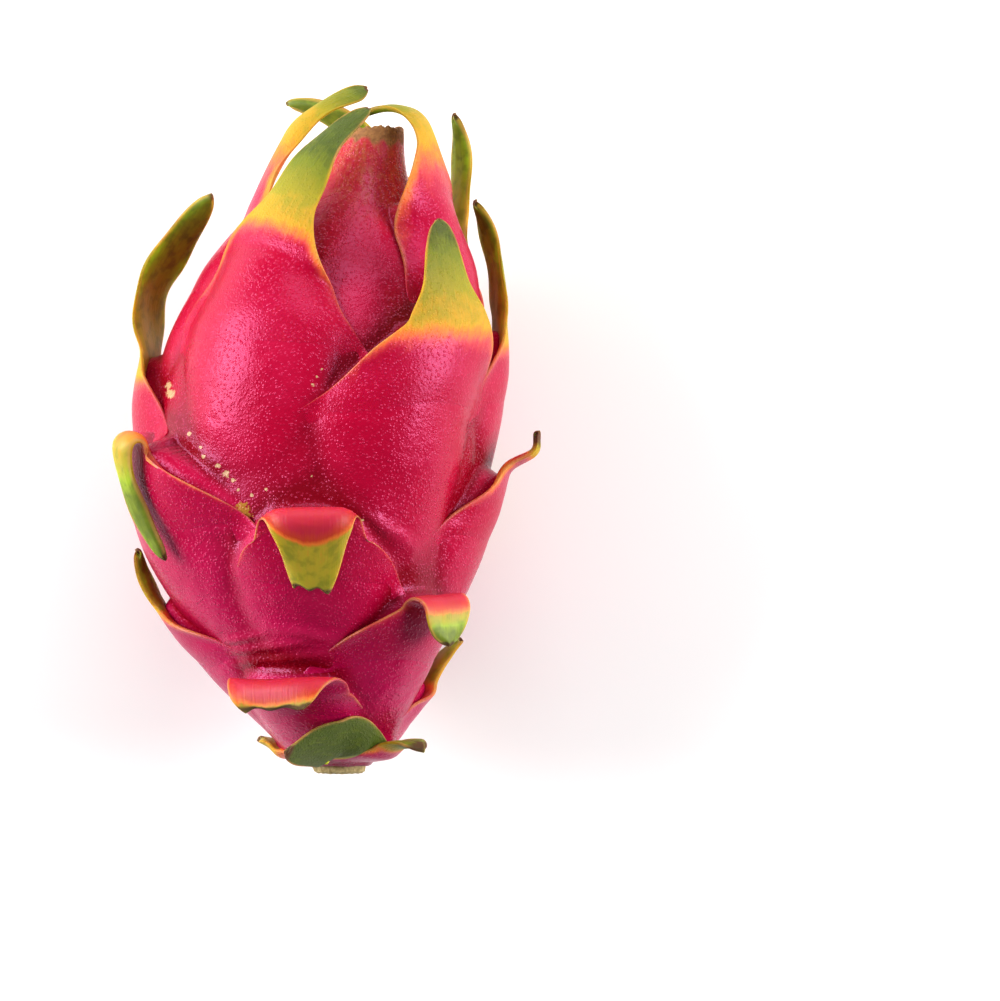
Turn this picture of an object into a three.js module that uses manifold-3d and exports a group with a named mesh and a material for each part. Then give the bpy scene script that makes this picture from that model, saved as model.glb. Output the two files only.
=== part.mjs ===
// A whole ripe dragon fruit, picked, lying on its side on a flat surface.
//
// The frame is in millimetres, +Z up. The fruit's long axis runs along +Y, from the stem end to the
// crown where the flower was, and the origin is the middle of the small flat spot that it rests on.
// The skin is a surface of revolution round a slightly bowed axis, raised into a broad swelling under
// each scale. Each scale is a fleshy blade that grows out of the top of its swelling, and it is fused
// to the skin. The dry flower remnant sits in the crater of the neck, and the woody stem stub in a
// shallow recess at the other end.
import * as THREE from "three";
import { mergeVertices } from "three/addons/utils/BufferGeometryUtils.js";
import Module from "manifold-3d";

// Driving dimensions. A station is a distance along the fruit from its stem end.
const FRUIT_LENGTH = 140;
const REST_STATION = 68;
const AXIS_HEIGHT = 36;
const STEM_END_OFFSET = 3;
const CROWN_OFFSET = 11;
const AXIS_BOW = 8.6;

// Station and radius of the skin in the valleys between the swellings.
const MERIDIAN = [
  [0, 7.2], [7, 13], [22, 21.5], [44, 31], [68, 35.2],
  [88, 33.6], [104, 26.6], [116, 18], [127, 10.6], [140, 6.4],
];
const SKIN_RINGS = 38;
const SKIN_SIDES = 48;

// The crater in the crown and the recess round the stem, each a little way inside the skin's end.
const CRATER = { radius: 4.6, floor_radius: 3.8, lip: 0.7, depth: 8 };
const RECESS = { radius: 6.4, lip: 0.6, depth: 3 };
const GAP = 0.35;

// Shape of every swelling, as powers and shares of its own size, and the round join between two.
const SWELLING = {
  rise: 1.4, side_fall: 0.4, dome: 0.85, narrowing: 0.62, narrowing_power: 1.5, top_run: 5,
};
const SWELLING_BLEND = 1.4;
const SWELLINGS_FADE = { stem: [0, 0.04], crown: [0.86, 0.97] };

// A scale's blade: where its points lie across it, its rows, its thickness, and how it leaves the skin.
const BLADE_ACROSS = [-1, -0.62, 0, 0.62, 1];
const BLADE_CELLS_ALONG = 10;
const BLADE_THICKNESS = 2.3;
const BLADE_EDGE_SHARE = 0.45;
const BLADE_THINNING = 0.35;
const ROOT_RUN = 9;
const ROOT_SINK = 1.6;
const MARGIN_STEP = 0.7;
const LEAVING_RUN = 5;
const TAPER_POWER = 0.8;
const CHANNEL_FROM = 0.4;
const STEPS_A_ROW = 8;
const ROWS_FOR_CURL = 1 / 120;

// How near a root comes to the stem end, and the least radii that a scale wraps round and that the skin has.
const ROOT_CLEARANCE = 1.5;
const LEAST_WRAP_RADIUS = 9;
const LEAST_RADIUS = 0.4;

const RADIANS = Math.PI / 180;
const HALVINGS = 30;

// What a scale has unless its own line says otherwise. Lengths in mm, angles in degrees.
//   station, turn   where its tongue begins: along the fruit, and round it from the top towards +X
//   half_base, drop half the width of its base, and how far below the tongue the base is that wide
//   skew, shoulder  turn of the base's middle past the tongue's, and how the base widens (1 is straight)
//   tongue, half_tongue, tip   length and half width of the free tongue, and half width of its end
//   taper           how long the tongue keeps its width (1 narrows evenly, more keeps it longer)
//   free            how far below the tongue the blade already stands clear of the skin
//   swell, reach    height of the swelling under it, and how far down the fruit that runs
//   lift, curl      outward turn where it leaves the skin, and along the tongue
//   fold, spread    where along the tongue the curl is, and over what share of it
//   lean, sweep, twist   sideways turn at the start, along the tongue, and about its own length
const PLAIN_SCALE = {
  half_base: 18, drop: 14, skew: 0, shoulder: 1.1, half_tongue: 5, tongue: 26, tip: 0.6, free: 3,
  taper: 2.2, swell: 7, reach: 50, lift: 8, curl: 0, fold: 0.5, spread: 1, lean: 0, sweep: 0, twist: 0,
  channel: 60,
};

const SCALES = [
  // The crown, bent in over the neck.
  { name: "crown_front_left", station: 119, turn: -42, half_base: 21, drop: 30, skew: 17, shoulder: 0.75,
    half_tongue: 8.4, tongue: 28, free: 12, swell: 8.5, reach: 66, lift: 6, curl: -28, lean: 5,
    sweep: 9, tip: 1.2, taper: 1.7, channel: 50 },
  { name: "crown_front_right", station: 126, turn: 68, half_base: 17, drop: 27, half_tongue: 6.2,
    tongue: 27, free: 10, swell: 8, reach: 62, lift: 12, curl: -92, tip: 1.2, taper: 1 },
  { name: "crown_left", station: 125, turn: -90, half_base: 18, drop: 26, half_tongue: 4,
    tongue: 30, free: 14, swell: 7.5, reach: 60, lift: 8, curl: -30, tip: 2.2, sweep: 4, twist: -24 },
  { name: "crown_back", station: 128, turn: 162, half_base: 17, drop: 24, half_tongue: 3.8,
    tongue: 25, free: 10, swell: 5, reach: 54, lift: 8, curl: 0, lean: 16, sweep: 74 },
  { name: "crown_right", station: 115, turn: 116, half_base: 17, drop: 20, half_tongue: 3.8,
    tongue: 25, free: 6, swell: 6, reach: 52, lift: 36, curl: -34, twist: 30 },

  // The shoulder of the fruit, standing up.
  { name: "shoulder_front_right", station: 94, turn: 43, half_base: 22, drop: 14, skew: -8,
    shoulder: 0.95, half_tongue: 9.2, tongue: 26, free: 1, swell: 9, reach: 56, lift: 4, curl: -4,
    lean: -7, tip: 1.4, taper: 1, channel: 46 },
  { name: "shoulder_right", station: 96, turn: 98, half_base: 18, drop: 15, half_tongue: 5.4,
    tongue: 27, free: 4, swell: 7, reach: 52, lift: 4, curl: -24, twist: 30 },
  { name: "shoulder_left", station: 96, turn: -98, half_base: 20, drop: 14, half_tongue: 6.4,
    tongue: 37, free: 3, swell: 7, reach: 52, lift: 27, curl: -34, twist: -60 },
  { name: "shoulder_back", station: 99, turn: 184, half_base: 22, drop: 16, half_tongue: 5.5,
    tongue: 26, free: 2, swell: 4.4, reach: 50, lift: 2, curl: -24 },
  { name: "shoulder_back_right", station: 92, turn: 146, half_base: 20, drop: 14, half_tongue: 5,
    tongue: 24, free: 2, swell: 5, reach: 46, lift: 8, curl: -16 },

  // The middle, folded outwards.
  { name: "middle_left", station: 70, turn: -72, half_base: 24, drop: 14, skew: 4, shoulder: 0.8,
    half_tongue: 5.4, tongue: 33, free: 1, swell: 6, reach: 46, lift: 40, curl: 148, fold: 0.07,
    spread: 0.14, sweep: -26, twist: 30, tip: 1.2 },
  { name: "middle_right", station: 66, turn: 84, half_base: 18, drop: 13, half_tongue: 4.6,
    tongue: 12, free: 3, swell: 7, reach: 46, lift: 50, curl: -70, fold: 0.6, spread: 0.5 },
  { name: "middle_front", station: 55, turn: 0, half_base: 20, drop: 11, shoulder: 0.6, half_tongue: 9,
    tongue: 20, free: 1, swell: 7, reach: 42, lift: 28, curl: 160, fold: 0.1, spread: 0.2,
    tip: 4.4, channel: 30 },
  { name: "middle_back_left", station: 62, turn: -136, half_base: 18, drop: 12, half_tongue: 5,
    tongue: 18, free: 2, swell: 4.4, reach: 40, lift: 4, curl: -6 },
  { name: "middle_back_right", station: 56, turn: 132, half_base: 18, drop: 12, half_tongue: 5,
    tongue: 20, free: 2, swell: 5, reach: 40, lift: 12, curl: -4 },

  // The lower fruit and the stem end.
  { name: "lower_left", station: 33, turn: -104, half_base: 15, drop: 10, half_tongue: 4.4,
    tongue: 18, free: 2, swell: 6, reach: 34, lift: -2, curl: -10, twist: -24 },
  { name: "lower_right", station: 37, turn: 46, half_base: 18, drop: 11, shoulder: 0.8, half_tongue: 7,
    tongue: 12, free: 1, swell: 6, reach: 34, lift: 22, curl: 126, fold: 0.2, spread: 0.4, tip: 1.8 },
  { name: "lower_back", station: 36, turn: 180, half_base: 17, drop: 10, half_tongue: 5,
    tongue: 16, free: 2, swell: 3.4, reach: 32, lift: 4, curl: -2 },
  { name: "lower_front", station: 20, turn: -22, half_base: 15, drop: 5, shoulder: 0.6, half_tongue: 12,
    tongue: 9, free: 1, swell: 6, reach: 26, lift: 26, curl: 124, fold: 0.2, spread: 0.4,
    tip: 7, channel: 24 },
  { name: "lower_back_right", station: 20, turn: 122, half_base: 13, drop: 8, half_tongue: 4.4,
    tongue: 14, free: 2, swell: 5, reach: 24, lift: 8, curl: 14 },
  { name: "stem_front", station: 4, turn: 16, half_base: 9, drop: 2, half_tongue: 8,
    tongue: 22, free: 0.5, swell: 2.6, reach: 14, lift: 14, curl: 6, lean: -68, sweep: -10, tip: 0.8,
    channel: 40 },
  { name: "stem_right", station: 5, turn: 62, half_base: 9, drop: 3, half_tongue: 6,
    tongue: 8, free: 1.5, swell: 3, reach: 12, lift: 24, curl: 30, tip: 3 },
  { name: "stem_left", station: 5, turn: -88, half_base: 9, drop: 3, half_tongue: 5,
    tongue: 7, free: 1.5, swell: 3, reach: 16, lift: 6, curl: 10, tip: 1.6 },
  { name: "stem_back", station: 6, turn: 160, half_base: 9, drop: 3, half_tongue: 5.5,
    tongue: 9, free: 1.5, swell: 3, reach: 12, lift: 20, curl: 20 },
];

const meridian = new THREE.SplineCurve(
  MERIDIAN.map(([station, radius]) => new THREE.Vector2(station, radius)),
);
meridian.arcLengthDivisions = 600;
const MERIDIAN_LENGTH = meridian.getLength();

const scales = SCALES.map((own) => {
  const scale = { ...PLAIN_SCALE, ...own };
  const share = shareWhere((along) => meridian.getPointAt(along).x, scale.station);
  return { ...scale, turn: scale.turn * RADIANS, share };
});

// The share from 0 to 1 at which a growing quantity reaches a value, found by halving.
function shareWhere(quantity, value) {
  let low = 0;
  let high = 1;
  for (let i = 0; i < HALVINGS; i += 1) {
    const middle = (low + high) / 2;
    if (quantity(middle) < value) low = middle;
    else high = middle;
  }
  return (low + high) / 2;
}

function smoothStep(from, to, value) {
  return THREE.MathUtils.smoothstep(value, from, to);
}

// The larger of two heights, with a round join where they meet.
function roundedMax(a, b, blend) {
  const near = Math.max(blend - Math.abs(a - b), 0) / blend;
  return Math.max(a, b) + (near * near * blend) / 4;
}

// A point at a station, radius and turn round the bowed axis.
function place(station, radius, turn) {
  const along = station / FRUIT_LENGTH;
  const axis = STEM_END_OFFSET * (1 - along) + CROWN_OFFSET * along - AXIS_BOW * Math.sin(Math.PI * along);
  return new THREE.Vector3(
    axis + radius * Math.sin(turn),
    station - REST_STATION,
    AXIS_HEIGHT + radius * Math.cos(turn),
  );
}

// A point on the skin, raised along its normal. Beyond the ends the meridian runs straight on.
function skinPoint(share, turn, height) {
  const held = THREE.MathUtils.clamp(share, 0, 1);
  const point = meridian.getPointAt(held);
  const tangent = meridian.getTangentAt(held);
  const beyond = (share - held) * MERIDIAN_LENGTH;
  const station = point.x + tangent.x * beyond - tangent.y * height;
  const radius = point.y + tangent.y * beyond + tangent.x * height;
  return place(station, Math.max(radius, LEAST_RADIUS), turn);
}

function wrapRadius(share) {
  return Math.max(meridian.getPointAt(THREE.MathUtils.clamp(share, 0, 1)).y, LEAST_WRAP_RADIUS);
}

// The turn of a scale's midline, which the skew carries round between the tongue and the base.
function midTurn(scale, along) {
  return scale.turn + scale.skew * RADIANS * THREE.MathUtils.clamp(-along / scale.drop, 0, 1.4);
}

// Where a point of the skin lies on a scale: across from its midline, and along past its tongue's start.
function onScale(scale, share, turn) {
  const along = (share - scale.share) * MERIDIAN_LENGTH;
  const round = turn - midTurn(scale, along);
  return { across: Math.atan2(Math.sin(round), Math.cos(round)) * wrapRadius(share), along };
}

// Half width of a scale's outline: the tongue above its start, the shoulders below, then the base.
function outline(scale, along) {
  if (along > 0) {
    const run = Math.min(along / scale.tongue, 1);
    const width = Math.pow(1 - Math.pow(run, scale.taper), TAPER_POWER);
    return scale.tip + (scale.half_tongue - scale.tip) * width;
  }
  const down = Math.min(-along / scale.drop, 1);
  return scale.half_tongue + (scale.half_base - scale.half_tongue) * Math.pow(down, scale.shoulder);
}

// Half width of the swelling under a scale, which narrows down the fruit below the shoulders.
function swellingWidth(scale, along) {
  if (along > -scale.drop) return outline(scale, along);
  const down = Math.min((-along - scale.drop) / (scale.reach - scale.drop), 1);
  return scale.half_base * (1 - SWELLING.narrowing * Math.pow(down, SWELLING.narrowing_power));
}

// Height of the swelling's plate: it grows up the fruit and falls away to both sides.
function plateHeight(scale, along, across) {
  const rise = 1 - Math.pow(THREE.MathUtils.clamp(-along / scale.reach, 0, 1), SWELLING.rise);
  const side = Math.abs(across) / scale.half_base;
  return scale.swell * rise * (1 - SWELLING.side_fall * side * side);
}

function swelling(scale, share, turn) {
  const { across, along } = onScale(scale, share, turn);
  const side = Math.abs(across) / swellingWidth(scale, along);
  if (side >= 1) return 0;
  const dome = Math.pow(1 - side * side, SWELLING.dome);
  const top = 1 - smoothStep(-scale.free, -scale.free + SWELLING.top_run, along);
  return plateHeight(scale, along, across) * dome * top;
}

// How far the skin stands above the meridian: the highest of the swellings there.
function skinHeight(share, turn) {
  const ends = smoothStep(...SWELLINGS_FADE.stem, share) * (1 - smoothStep(...SWELLINGS_FADE.crown, share));
  return ends * scales.reduce(
    (height, scale) => roundedMax(height, swelling(scale, share, turn), SWELLING_BLEND),
    0,
  );
}

// Flattens what the fruit lies on: nothing reaches below the surface.
function rested(point) {
  return point.setZ(Math.max(point.z, 0));
}

// Rows of points joined into quads. Rows have as many points as each other, and may close on themselves.
function addGrid(triangles, rows, { closed, flip }) {
  for (let j = 0; j + 1 < rows.length; j += 1) {
    const count = rows[j].length;
    for (let i = 0; i < (closed ? count : count - 1); i += 1) {
      const next = (i + 1) % count;
      const quad = [rows[j][i], rows[j][next], rows[j + 1][next], rows[j + 1][i]];
      if (flip) quad.reverse();
      triangles.push([quad[0], quad[1], quad[2]], [quad[0], quad[2], quad[3]]);
    }
  }
}

function addFan(triangles, ring, centre, flip) {
  ring.forEach((point, i) => {
    const next = ring[(i + 1) % ring.length];
    triangles.push(flip ? [next, point, centre] : [point, next, centre]);
  });
}

function geometryOf(triangles) {
  return new THREE.BufferGeometry().setFromPoints(triangles.flat());
}

// A closed body of revolution from rings of [station, radius, fold depth, fold count].
function ringedBody(profile, sides) {
  const rings = profile.map(([station, radius, depth = 0, folds = 1]) =>
    Array.from({ length: sides }, (_, i) => {
      const turn = (i / sides) * 2 * Math.PI;
      return place(station, radius * (1 + depth * Math.cos(folds * turn)), turn);
    }),
  );
  const triangles = [];
  addGrid(triangles, rings, { closed: true, flip: false });
  addFan(triangles, rings[0], place(profile[0][0], 0, 0), true);
  addFan(triangles, rings.at(-1), place(profile.at(-1)[0], 0, 0), false);
  return geometryOf(triangles);
}

// The skin, closed at the stem end by the stub's recess and at the crown by the crater.
function skinGeometry() {
  const turns = Array.from({ length: SKIN_SIDES }, (_, i) => (i / SKIN_SIDES) * 2 * Math.PI);
  const ringOf = (station, radius) => turns.map((turn) => place(station, radius, turn));
  const rings = [ringOf(RECESS.depth, RECESS.radius), ringOf(RECESS.lip, RECESS.radius)];
  for (let j = 0; j <= SKIN_RINGS; j += 1) {
    const share = j / SKIN_RINGS;
    rings.push(turns.map((turn) => rested(skinPoint(share, turn, skinHeight(share, turn)))));
  }
  rings.push(ringOf(FRUIT_LENGTH - CRATER.lip, CRATER.radius));
  rings.push(ringOf(FRUIT_LENGTH - CRATER.depth, CRATER.floor_radius));
  const triangles = [];
  addGrid(triangles, rings, { closed: true, flip: false });
  addFan(triangles, rings[0], place(RECESS.depth, 0, 0), true);
  addFan(triangles, rings.at(-1), place(FRUIT_LENGTH - CRATER.depth, 0, 0), false);
  return geometryOf(triangles);
}

// The part of a blade that lies on the skin, sunk at its root and riding over its neighbours' swellings.
function lyingPoint(scale, along, across) {
  const share = scale.share + along / MERIDIAN_LENGTH;
  const turn = midTurn(scale, along) + across / wrapRadius(share);
  const under = skinHeight(share, turn);
  const plate = Math.max(plateHeight(scale, along, across), under);
  const out = smoothStep(-scale.drop - ROOT_RUN * 0.6, -scale.drop + ROOT_RUN * 0.2, along);
  const flat = smoothStep(-scale.drop, -0.3 * scale.drop, along);
  const top = THREE.MathUtils.lerp(under, plate, flat) + MARGIN_STEP;
  return skinPoint(share, turn, THREE.MathUtils.lerp(under - ROOT_SINK, top, out));
}

// The line and frame that the free part of a blade follows from where it leaves the skin.
function freeLine(scale, stations) {
  const start = -scale.free;
  const at = lyingPoint(scale, start, 0);
  const turn = midTurn(scale, start);
  const onPlate = (along) =>
    skinPoint(scale.share + along / MERIDIAN_LENGTH, turn, plateHeight(scale, along, 0));
  const ahead = onPlate(start).sub(onPlate(start - 2)).normalize();
  const side = new THREE.Vector3(Math.cos(turn), 0, -Math.sin(turn));
  side.addScaledVector(ahead, -side.dot(ahead)).normalize();
  const frame = { at, ahead, side, out: side.clone().cross(ahead) };
  turnFrame(frame, 0, scale.lean, 0);
  const lines = new Map();
  for (const along of stations.filter((s) => s <= start)) {
    lines.set(along, { ...frame, at: at.clone().addScaledVector(frame.ahead, along - start) });
  }
  const run = scale.free + scale.tongue;
  let before = start;
  for (const along of stations.filter((s) => s > start)) {
    for (let k = 0; k < STEPS_A_ROW; k += 1) {
      const from = THREE.MathUtils.lerp(before, along, k / STEPS_A_ROW);
      const to = THREE.MathUtils.lerp(before, along, (k + 1) / STEPS_A_ROW);
      const outward = outwardTurn(scale, to) - outwardTurn(scale, from);
      turnFrame(frame, outward, (scale.sweep * (to - from)) / run, (scale.twist * (to - from)) / run);
      frame.at.addScaledVector(frame.ahead, to - from);
    }
    lines.set(along, { at: frame.at.clone(), side: frame.side.clone(), out: frame.out.clone() });
    before = along;
  }
  return lines;
}

// How far a blade has turned outwards: its lift where it leaves the skin, then its curl.
function outwardTurn(scale, along) {
  const lifted = smoothStep(-scale.free, -scale.free + LEAVING_RUN, along);
  return scale.lift * lifted + scale.curl * curlShare(scale, along);
}

function curlShare(scale, along) {
  const run = along / scale.tongue;
  return smoothStep(scale.fold - scale.spread / 2, scale.fold + scale.spread / 2, run);
}

// Turns a frame outwards, then sideways, then about its own length, by angles in degrees.
function turnFrame(frame, outward, sideways, about) {
  const { ahead, side, out } = frame;
  ahead.applyAxisAngle(side, outward * RADIANS);
  out.applyAxisAngle(side, outward * RADIANS);
  ahead.applyAxisAngle(out, -sideways * RADIANS);
  side.applyAxisAngle(out, -sideways * RADIANS);
  side.applyAxisAngle(ahead, about * RADIANS);
  out.applyAxisAngle(ahead, about * RADIANS);
}

// A point of the free part, bent round the fruit where it leaves the skin, and into a channel further on.
function freePoint(scale, line, along, across) {
  const leave = smoothStep(-scale.free, CHANNEL_FROM * scale.tongue, along);
  const round = 1 / wrapRadius(scale.share);
  const channel = (scale.channel * RADIANS) / (2 * scale.half_tongue);
  const bend = THREE.MathUtils.lerp(round, channel, leave);
  const point = line.at.clone();
  point.addScaledVector(line.side, Math.sin(bend * across) / bend);
  return point.addScaledVector(line.out, -(1 - Math.cos(bend * across)) / bend);
}

// Stations along a blade, closer together where it curls.
function bladeStations(scale) {
  const root = Math.max(-scale.drop - ROOT_RUN, ROOT_CLEARANCE - scale.share * MERIDIAN_LENGTH);
  const length = scale.tongue - root;
  const rows = (share) =>
    share + Math.abs(scale.curl) * ROWS_FOR_CURL * curlShare(scale, root + share * length);
  return Array.from({ length: BLADE_CELLS_ALONG + 1 }, (_, j) => {
    const wanted = THREE.MathUtils.lerp(rows(0), rows(1), j / BLADE_CELLS_ALONG);
    return root + length * shareWhere(rows, wanted);
  });
}

// The outer face of a blade, row by row from its root: on the skin at first, then along its free line.
function bladeFace(scale, stations) {
  const lines = freeLine(scale, stations);
  return stations.map((along) => {
    const free = smoothStep(-scale.free - LEAVING_RUN, -scale.free + LEAVING_RUN, along);
    return BLADE_ACROSS.map((side) => {
      const across = side * outline(scale, along);
      const leaving = freePoint(scale, lines.get(along), along, across);
      return rested(lyingPoint(scale, along, across).lerp(leaving, free));
    });
  });
}

// The face below it, one thickness in, which thins towards the margins and the tip.
function bladeBack(scale, stations, face) {
  return face.map((row, j) => row.map((point, i) => {
    const along = face[Math.min(j + 1, face.length - 1)][i].clone().sub(face[Math.max(j - 1, 0)][i]);
    const across = row[Math.min(i + 1, row.length - 1)].clone().sub(row[Math.max(i - 1, 0)]);
    const run = Math.max(stations[j] / scale.tongue, 0);
    const middle = 1 - (1 - BLADE_EDGE_SHARE) * BLADE_ACROSS[i] * BLADE_ACROSS[i];
    const thickness = BLADE_THICKNESS * (1 - BLADE_THINNING * run) * middle;
    return point.clone().addScaledVector(across.cross(along).normalize(), -thickness);
  }));
}

// The points round the edge of a grid of rows, in order.
function rimOf(rows) {
  return [
    ...rows[0],
    ...rows.slice(1).map((row) => row.at(-1)),
    ...rows.at(-1).slice(0, -1).reverse(),
    ...rows.slice(1, -1).map((row) => row[0]).reverse(),
  ];
}

function bladeGeometry(scale) {
  const stations = bladeStations(scale);
  const face = bladeFace(scale, stations);
  const back = bladeBack(scale, stations, face);
  const triangles = [];
  addGrid(triangles, face, { closed: false, flip: false });
  addGrid(triangles, back, { closed: false, flip: true });
  addGrid(triangles, [rimOf(back), rimOf(face)], { closed: true, flip: false });
  return geometryOf(triangles);
}

const wasm = await Module();
wasm.setup();

function solidOf(geometry) {
  const merged = mergeVertices(geometry, 1e-4);
  return new wasm.Manifold(new wasm.Mesh({
    numProp: 3,
    vertProperties: merged.attributes.position.array,
    triVerts: new Uint32Array(merged.index.array),
  }));
}

function geometryOfSolid(solid) {
  const { vertProperties, triVerts, numProp } = solid.getMesh();
  const positions = new Float32Array((vertProperties.length / numProp) * 3);
  for (let i = 0; i < positions.length / 3; i += 1) {
    positions.set(vertProperties.subarray(i * numProp, i * numProp + 3), i * 3);
  }
  return new THREE.BufferGeometry()
    .setAttribute("position", new THREE.BufferAttribute(positions, 3))
    .setIndex(new THREE.BufferAttribute(new Uint32Array(triVerts), 1));
}

// The skin and its scales, fused into one solid.
function fruitGeometry() {
  const skin = solidOf(skinGeometry());
  return geometryOfSolid(scales.reduce((body, scale) => body.add(solidOf(bladeGeometry(scale))), skin));
}

// The shrivelled remains of the flower, a crumpled plug of dry folds in the crater.
function flowerRemnantGeometry() {
  const floor = FRUIT_LENGTH - CRATER.depth + GAP;
  const top = FRUIT_LENGTH - CRATER.lip;
  const radius = CRATER.floor_radius - GAP;
  return ringedBody([
    [floor, 0.7 * radius],
    [top - 5, 0.9 * radius, 0.06, 7],
    [top - 2, 0.86 * radius, 0.12, 7],
    [top - 0.6, 0.72 * radius, 0.2, 7],
    [top - 1.4, 0.4 * radius, 0.22, 7],
  ], 28);
}

// The woody stub of the stem, three-sided like the stem that it was cut from.
function stemStubGeometry() {
  const radius = RECESS.radius - 1.5 * GAP;
  return ringedBody([
    [-1.8, 0.7 * radius, 0.08, 3],
    [-1.4, 0.92 * radius, 0.08, 3],
    [-0.4, 0.98 * radius, 0.04, 3],
    [RECESS.lip, 0.98 * radius],
    [RECESS.depth - GAP, 0.9 * radius],
  ], 30);
}

function part(name, geometry, color, roughness) {
  const mesh = new THREE.Mesh(geometry, new THREE.MeshStandardMaterial({ color, roughness, metalness: 0 }));
  mesh.name = name;
  return mesh;
}

const dragonFruit = new THREE.Group();
dragonFruit.add(
  part("fruit", fruitGeometry(), 0xd4145a, 0.45),
  part("flower_remnant", flowerRemnantGeometry(), 0x7a5a3c, 0.9),
  part("stem_stub", stemStubGeometry(), 0xa08a52, 0.85),
);

export default dragonFruit;
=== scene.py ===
"""A whole ripe dragon fruit lying on its side.

The skin, each of its scales, the dry flower remnant and the stem stub are modelled here at full detail,
in metres and in the frame of the CAD model. The fruit's long axis runs along +Y, from the stem end to the
crown, and the origin is the middle of the flat spot that it rests on.
"""
import math

import bpy
import numpy as np
from bpy.props import (
    CollectionProperty,
    FloatProperty,
    FloatVectorProperty,
    IntProperty,
    PointerProperty,
)
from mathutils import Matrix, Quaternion, Vector


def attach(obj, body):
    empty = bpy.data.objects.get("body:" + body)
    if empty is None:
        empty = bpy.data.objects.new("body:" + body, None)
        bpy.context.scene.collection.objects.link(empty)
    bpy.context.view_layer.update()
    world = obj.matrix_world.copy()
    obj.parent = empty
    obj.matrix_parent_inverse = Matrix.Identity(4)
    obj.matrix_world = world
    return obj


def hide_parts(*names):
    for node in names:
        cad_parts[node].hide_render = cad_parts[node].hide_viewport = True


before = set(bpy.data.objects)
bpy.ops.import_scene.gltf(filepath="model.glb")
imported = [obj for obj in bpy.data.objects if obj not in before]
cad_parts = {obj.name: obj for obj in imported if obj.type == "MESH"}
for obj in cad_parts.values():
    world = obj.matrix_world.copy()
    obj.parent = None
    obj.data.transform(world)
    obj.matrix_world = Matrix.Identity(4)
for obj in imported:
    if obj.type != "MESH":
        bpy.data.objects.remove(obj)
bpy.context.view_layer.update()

bl_info = {
    "name": "Whole dragon fruit",
    "version": (1, 0, 0),
    "blender": (4, 5, 0),
    "location": "3D View > Sidebar > Dragon fruit",
    "description": "Models a ripe dragon fruit with its scales, flower remnant and stem stub",
    "category": "Mesh",
}

MM = 0.001

# Station along the fruit and radius of the skin in the valleys between the swellings, in mm.
MERIDIAN = [
    (0, 7.2), (7, 13), (22, 21.5), (44, 31), (68, 35.2),
    (88, 33.6), (104, 26.6), (116, 18), (127, 10.6), (140, 6.4),
]
# The recess round the stem, from its middle out to the skin, and the neck's rim and crater, going in.
RECESS = [(3, 0), (3, 3), (3, 5.6), (2.7, 6.15), (1.9, 6.35), (1, 6.45), (0.4, 6.7), (0.1, 6.95)]
CRATER = [
    (140.25, 6.15), (140.4, 5.75), (140.3, 5.3), (139.9, 4.95), (139.2, 4.72), (137.5, 4.4),
    (135.2, 4.1), (132.6, 3.85), (132, 3.4), (132, 0),
]

# Shape of every swelling, as powers and shares of its own size.
SWELLING_RISE = 1.4
SWELLING_SIDE_FALL = 0.4
SWELLING_DOME = 0.66
SWELLING_NARROWING = 0.62
SWELLING_NARROWING_POWER = 1.5
SWELLING_TOP_RUN = 5 * MM
SWELLING_BLEND = 1.1 * MM
SWELLINGS_FADE_AT_STEM = (0, 0.04)
SWELLINGS_FADE_AT_CROWN = (0.86, 0.97)

# Valleys this deep get the full painted shade; relief of the skin between the swellings and on the neck's
# rim.
FULL_SHADE_DEPTH = 1.1 * MM
LUMP_HEIGHT = 0.16 * MM
RIM_TEAR = 0.35 * MM

# How a scale's blade leaves the skin, narrows and thins.
ROOT_RUN = 9 * MM
ROOT_SINK = 1.6 * MM
ROOT_TOUCH = 4 * MM
ROOT_CLEARANCE = 1.5 * MM
STANDING_RUN = 14 * MM
LEAVING_RUN = 5 * MM
TAPER_POWER = 0.8
CHANNEL_FROM = 0.4
ROWS_FOR_CURL = 1 / 120
EDGE_THINNING = 0.74
TIP_THINNING = 0.4
PRESSED = 0.4 * MM
LEAST_WRAP_RADIUS = 9 * MM
LEAST_RADIUS = 0.4 * MM
LINE_STEPS = 360
CURVE_STEPS = 4000
STATION_STEPS = 800
RIDGE_STEP = 2 * MM
LINE_RUN_BACK = 40 * MM
TORN_FROM = 0.8 * MM
SAME_POINT = 1e-6
GOLDEN_TURN = math.radians(137.5)

# What a scale's values give in mm and in degrees. The rest are plain numbers.
LENGTHS = {
    "station", "half_base", "drop", "half_tongue", "tongue", "tip", "free", "swell", "reach",
    "blush", "yellow", "green", "dry", "ragged", "wave", "arch",
}
ANGLES = {"turn", "skew", "lift", "curl", "lean", "sweep", "twist", "channel"}

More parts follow.
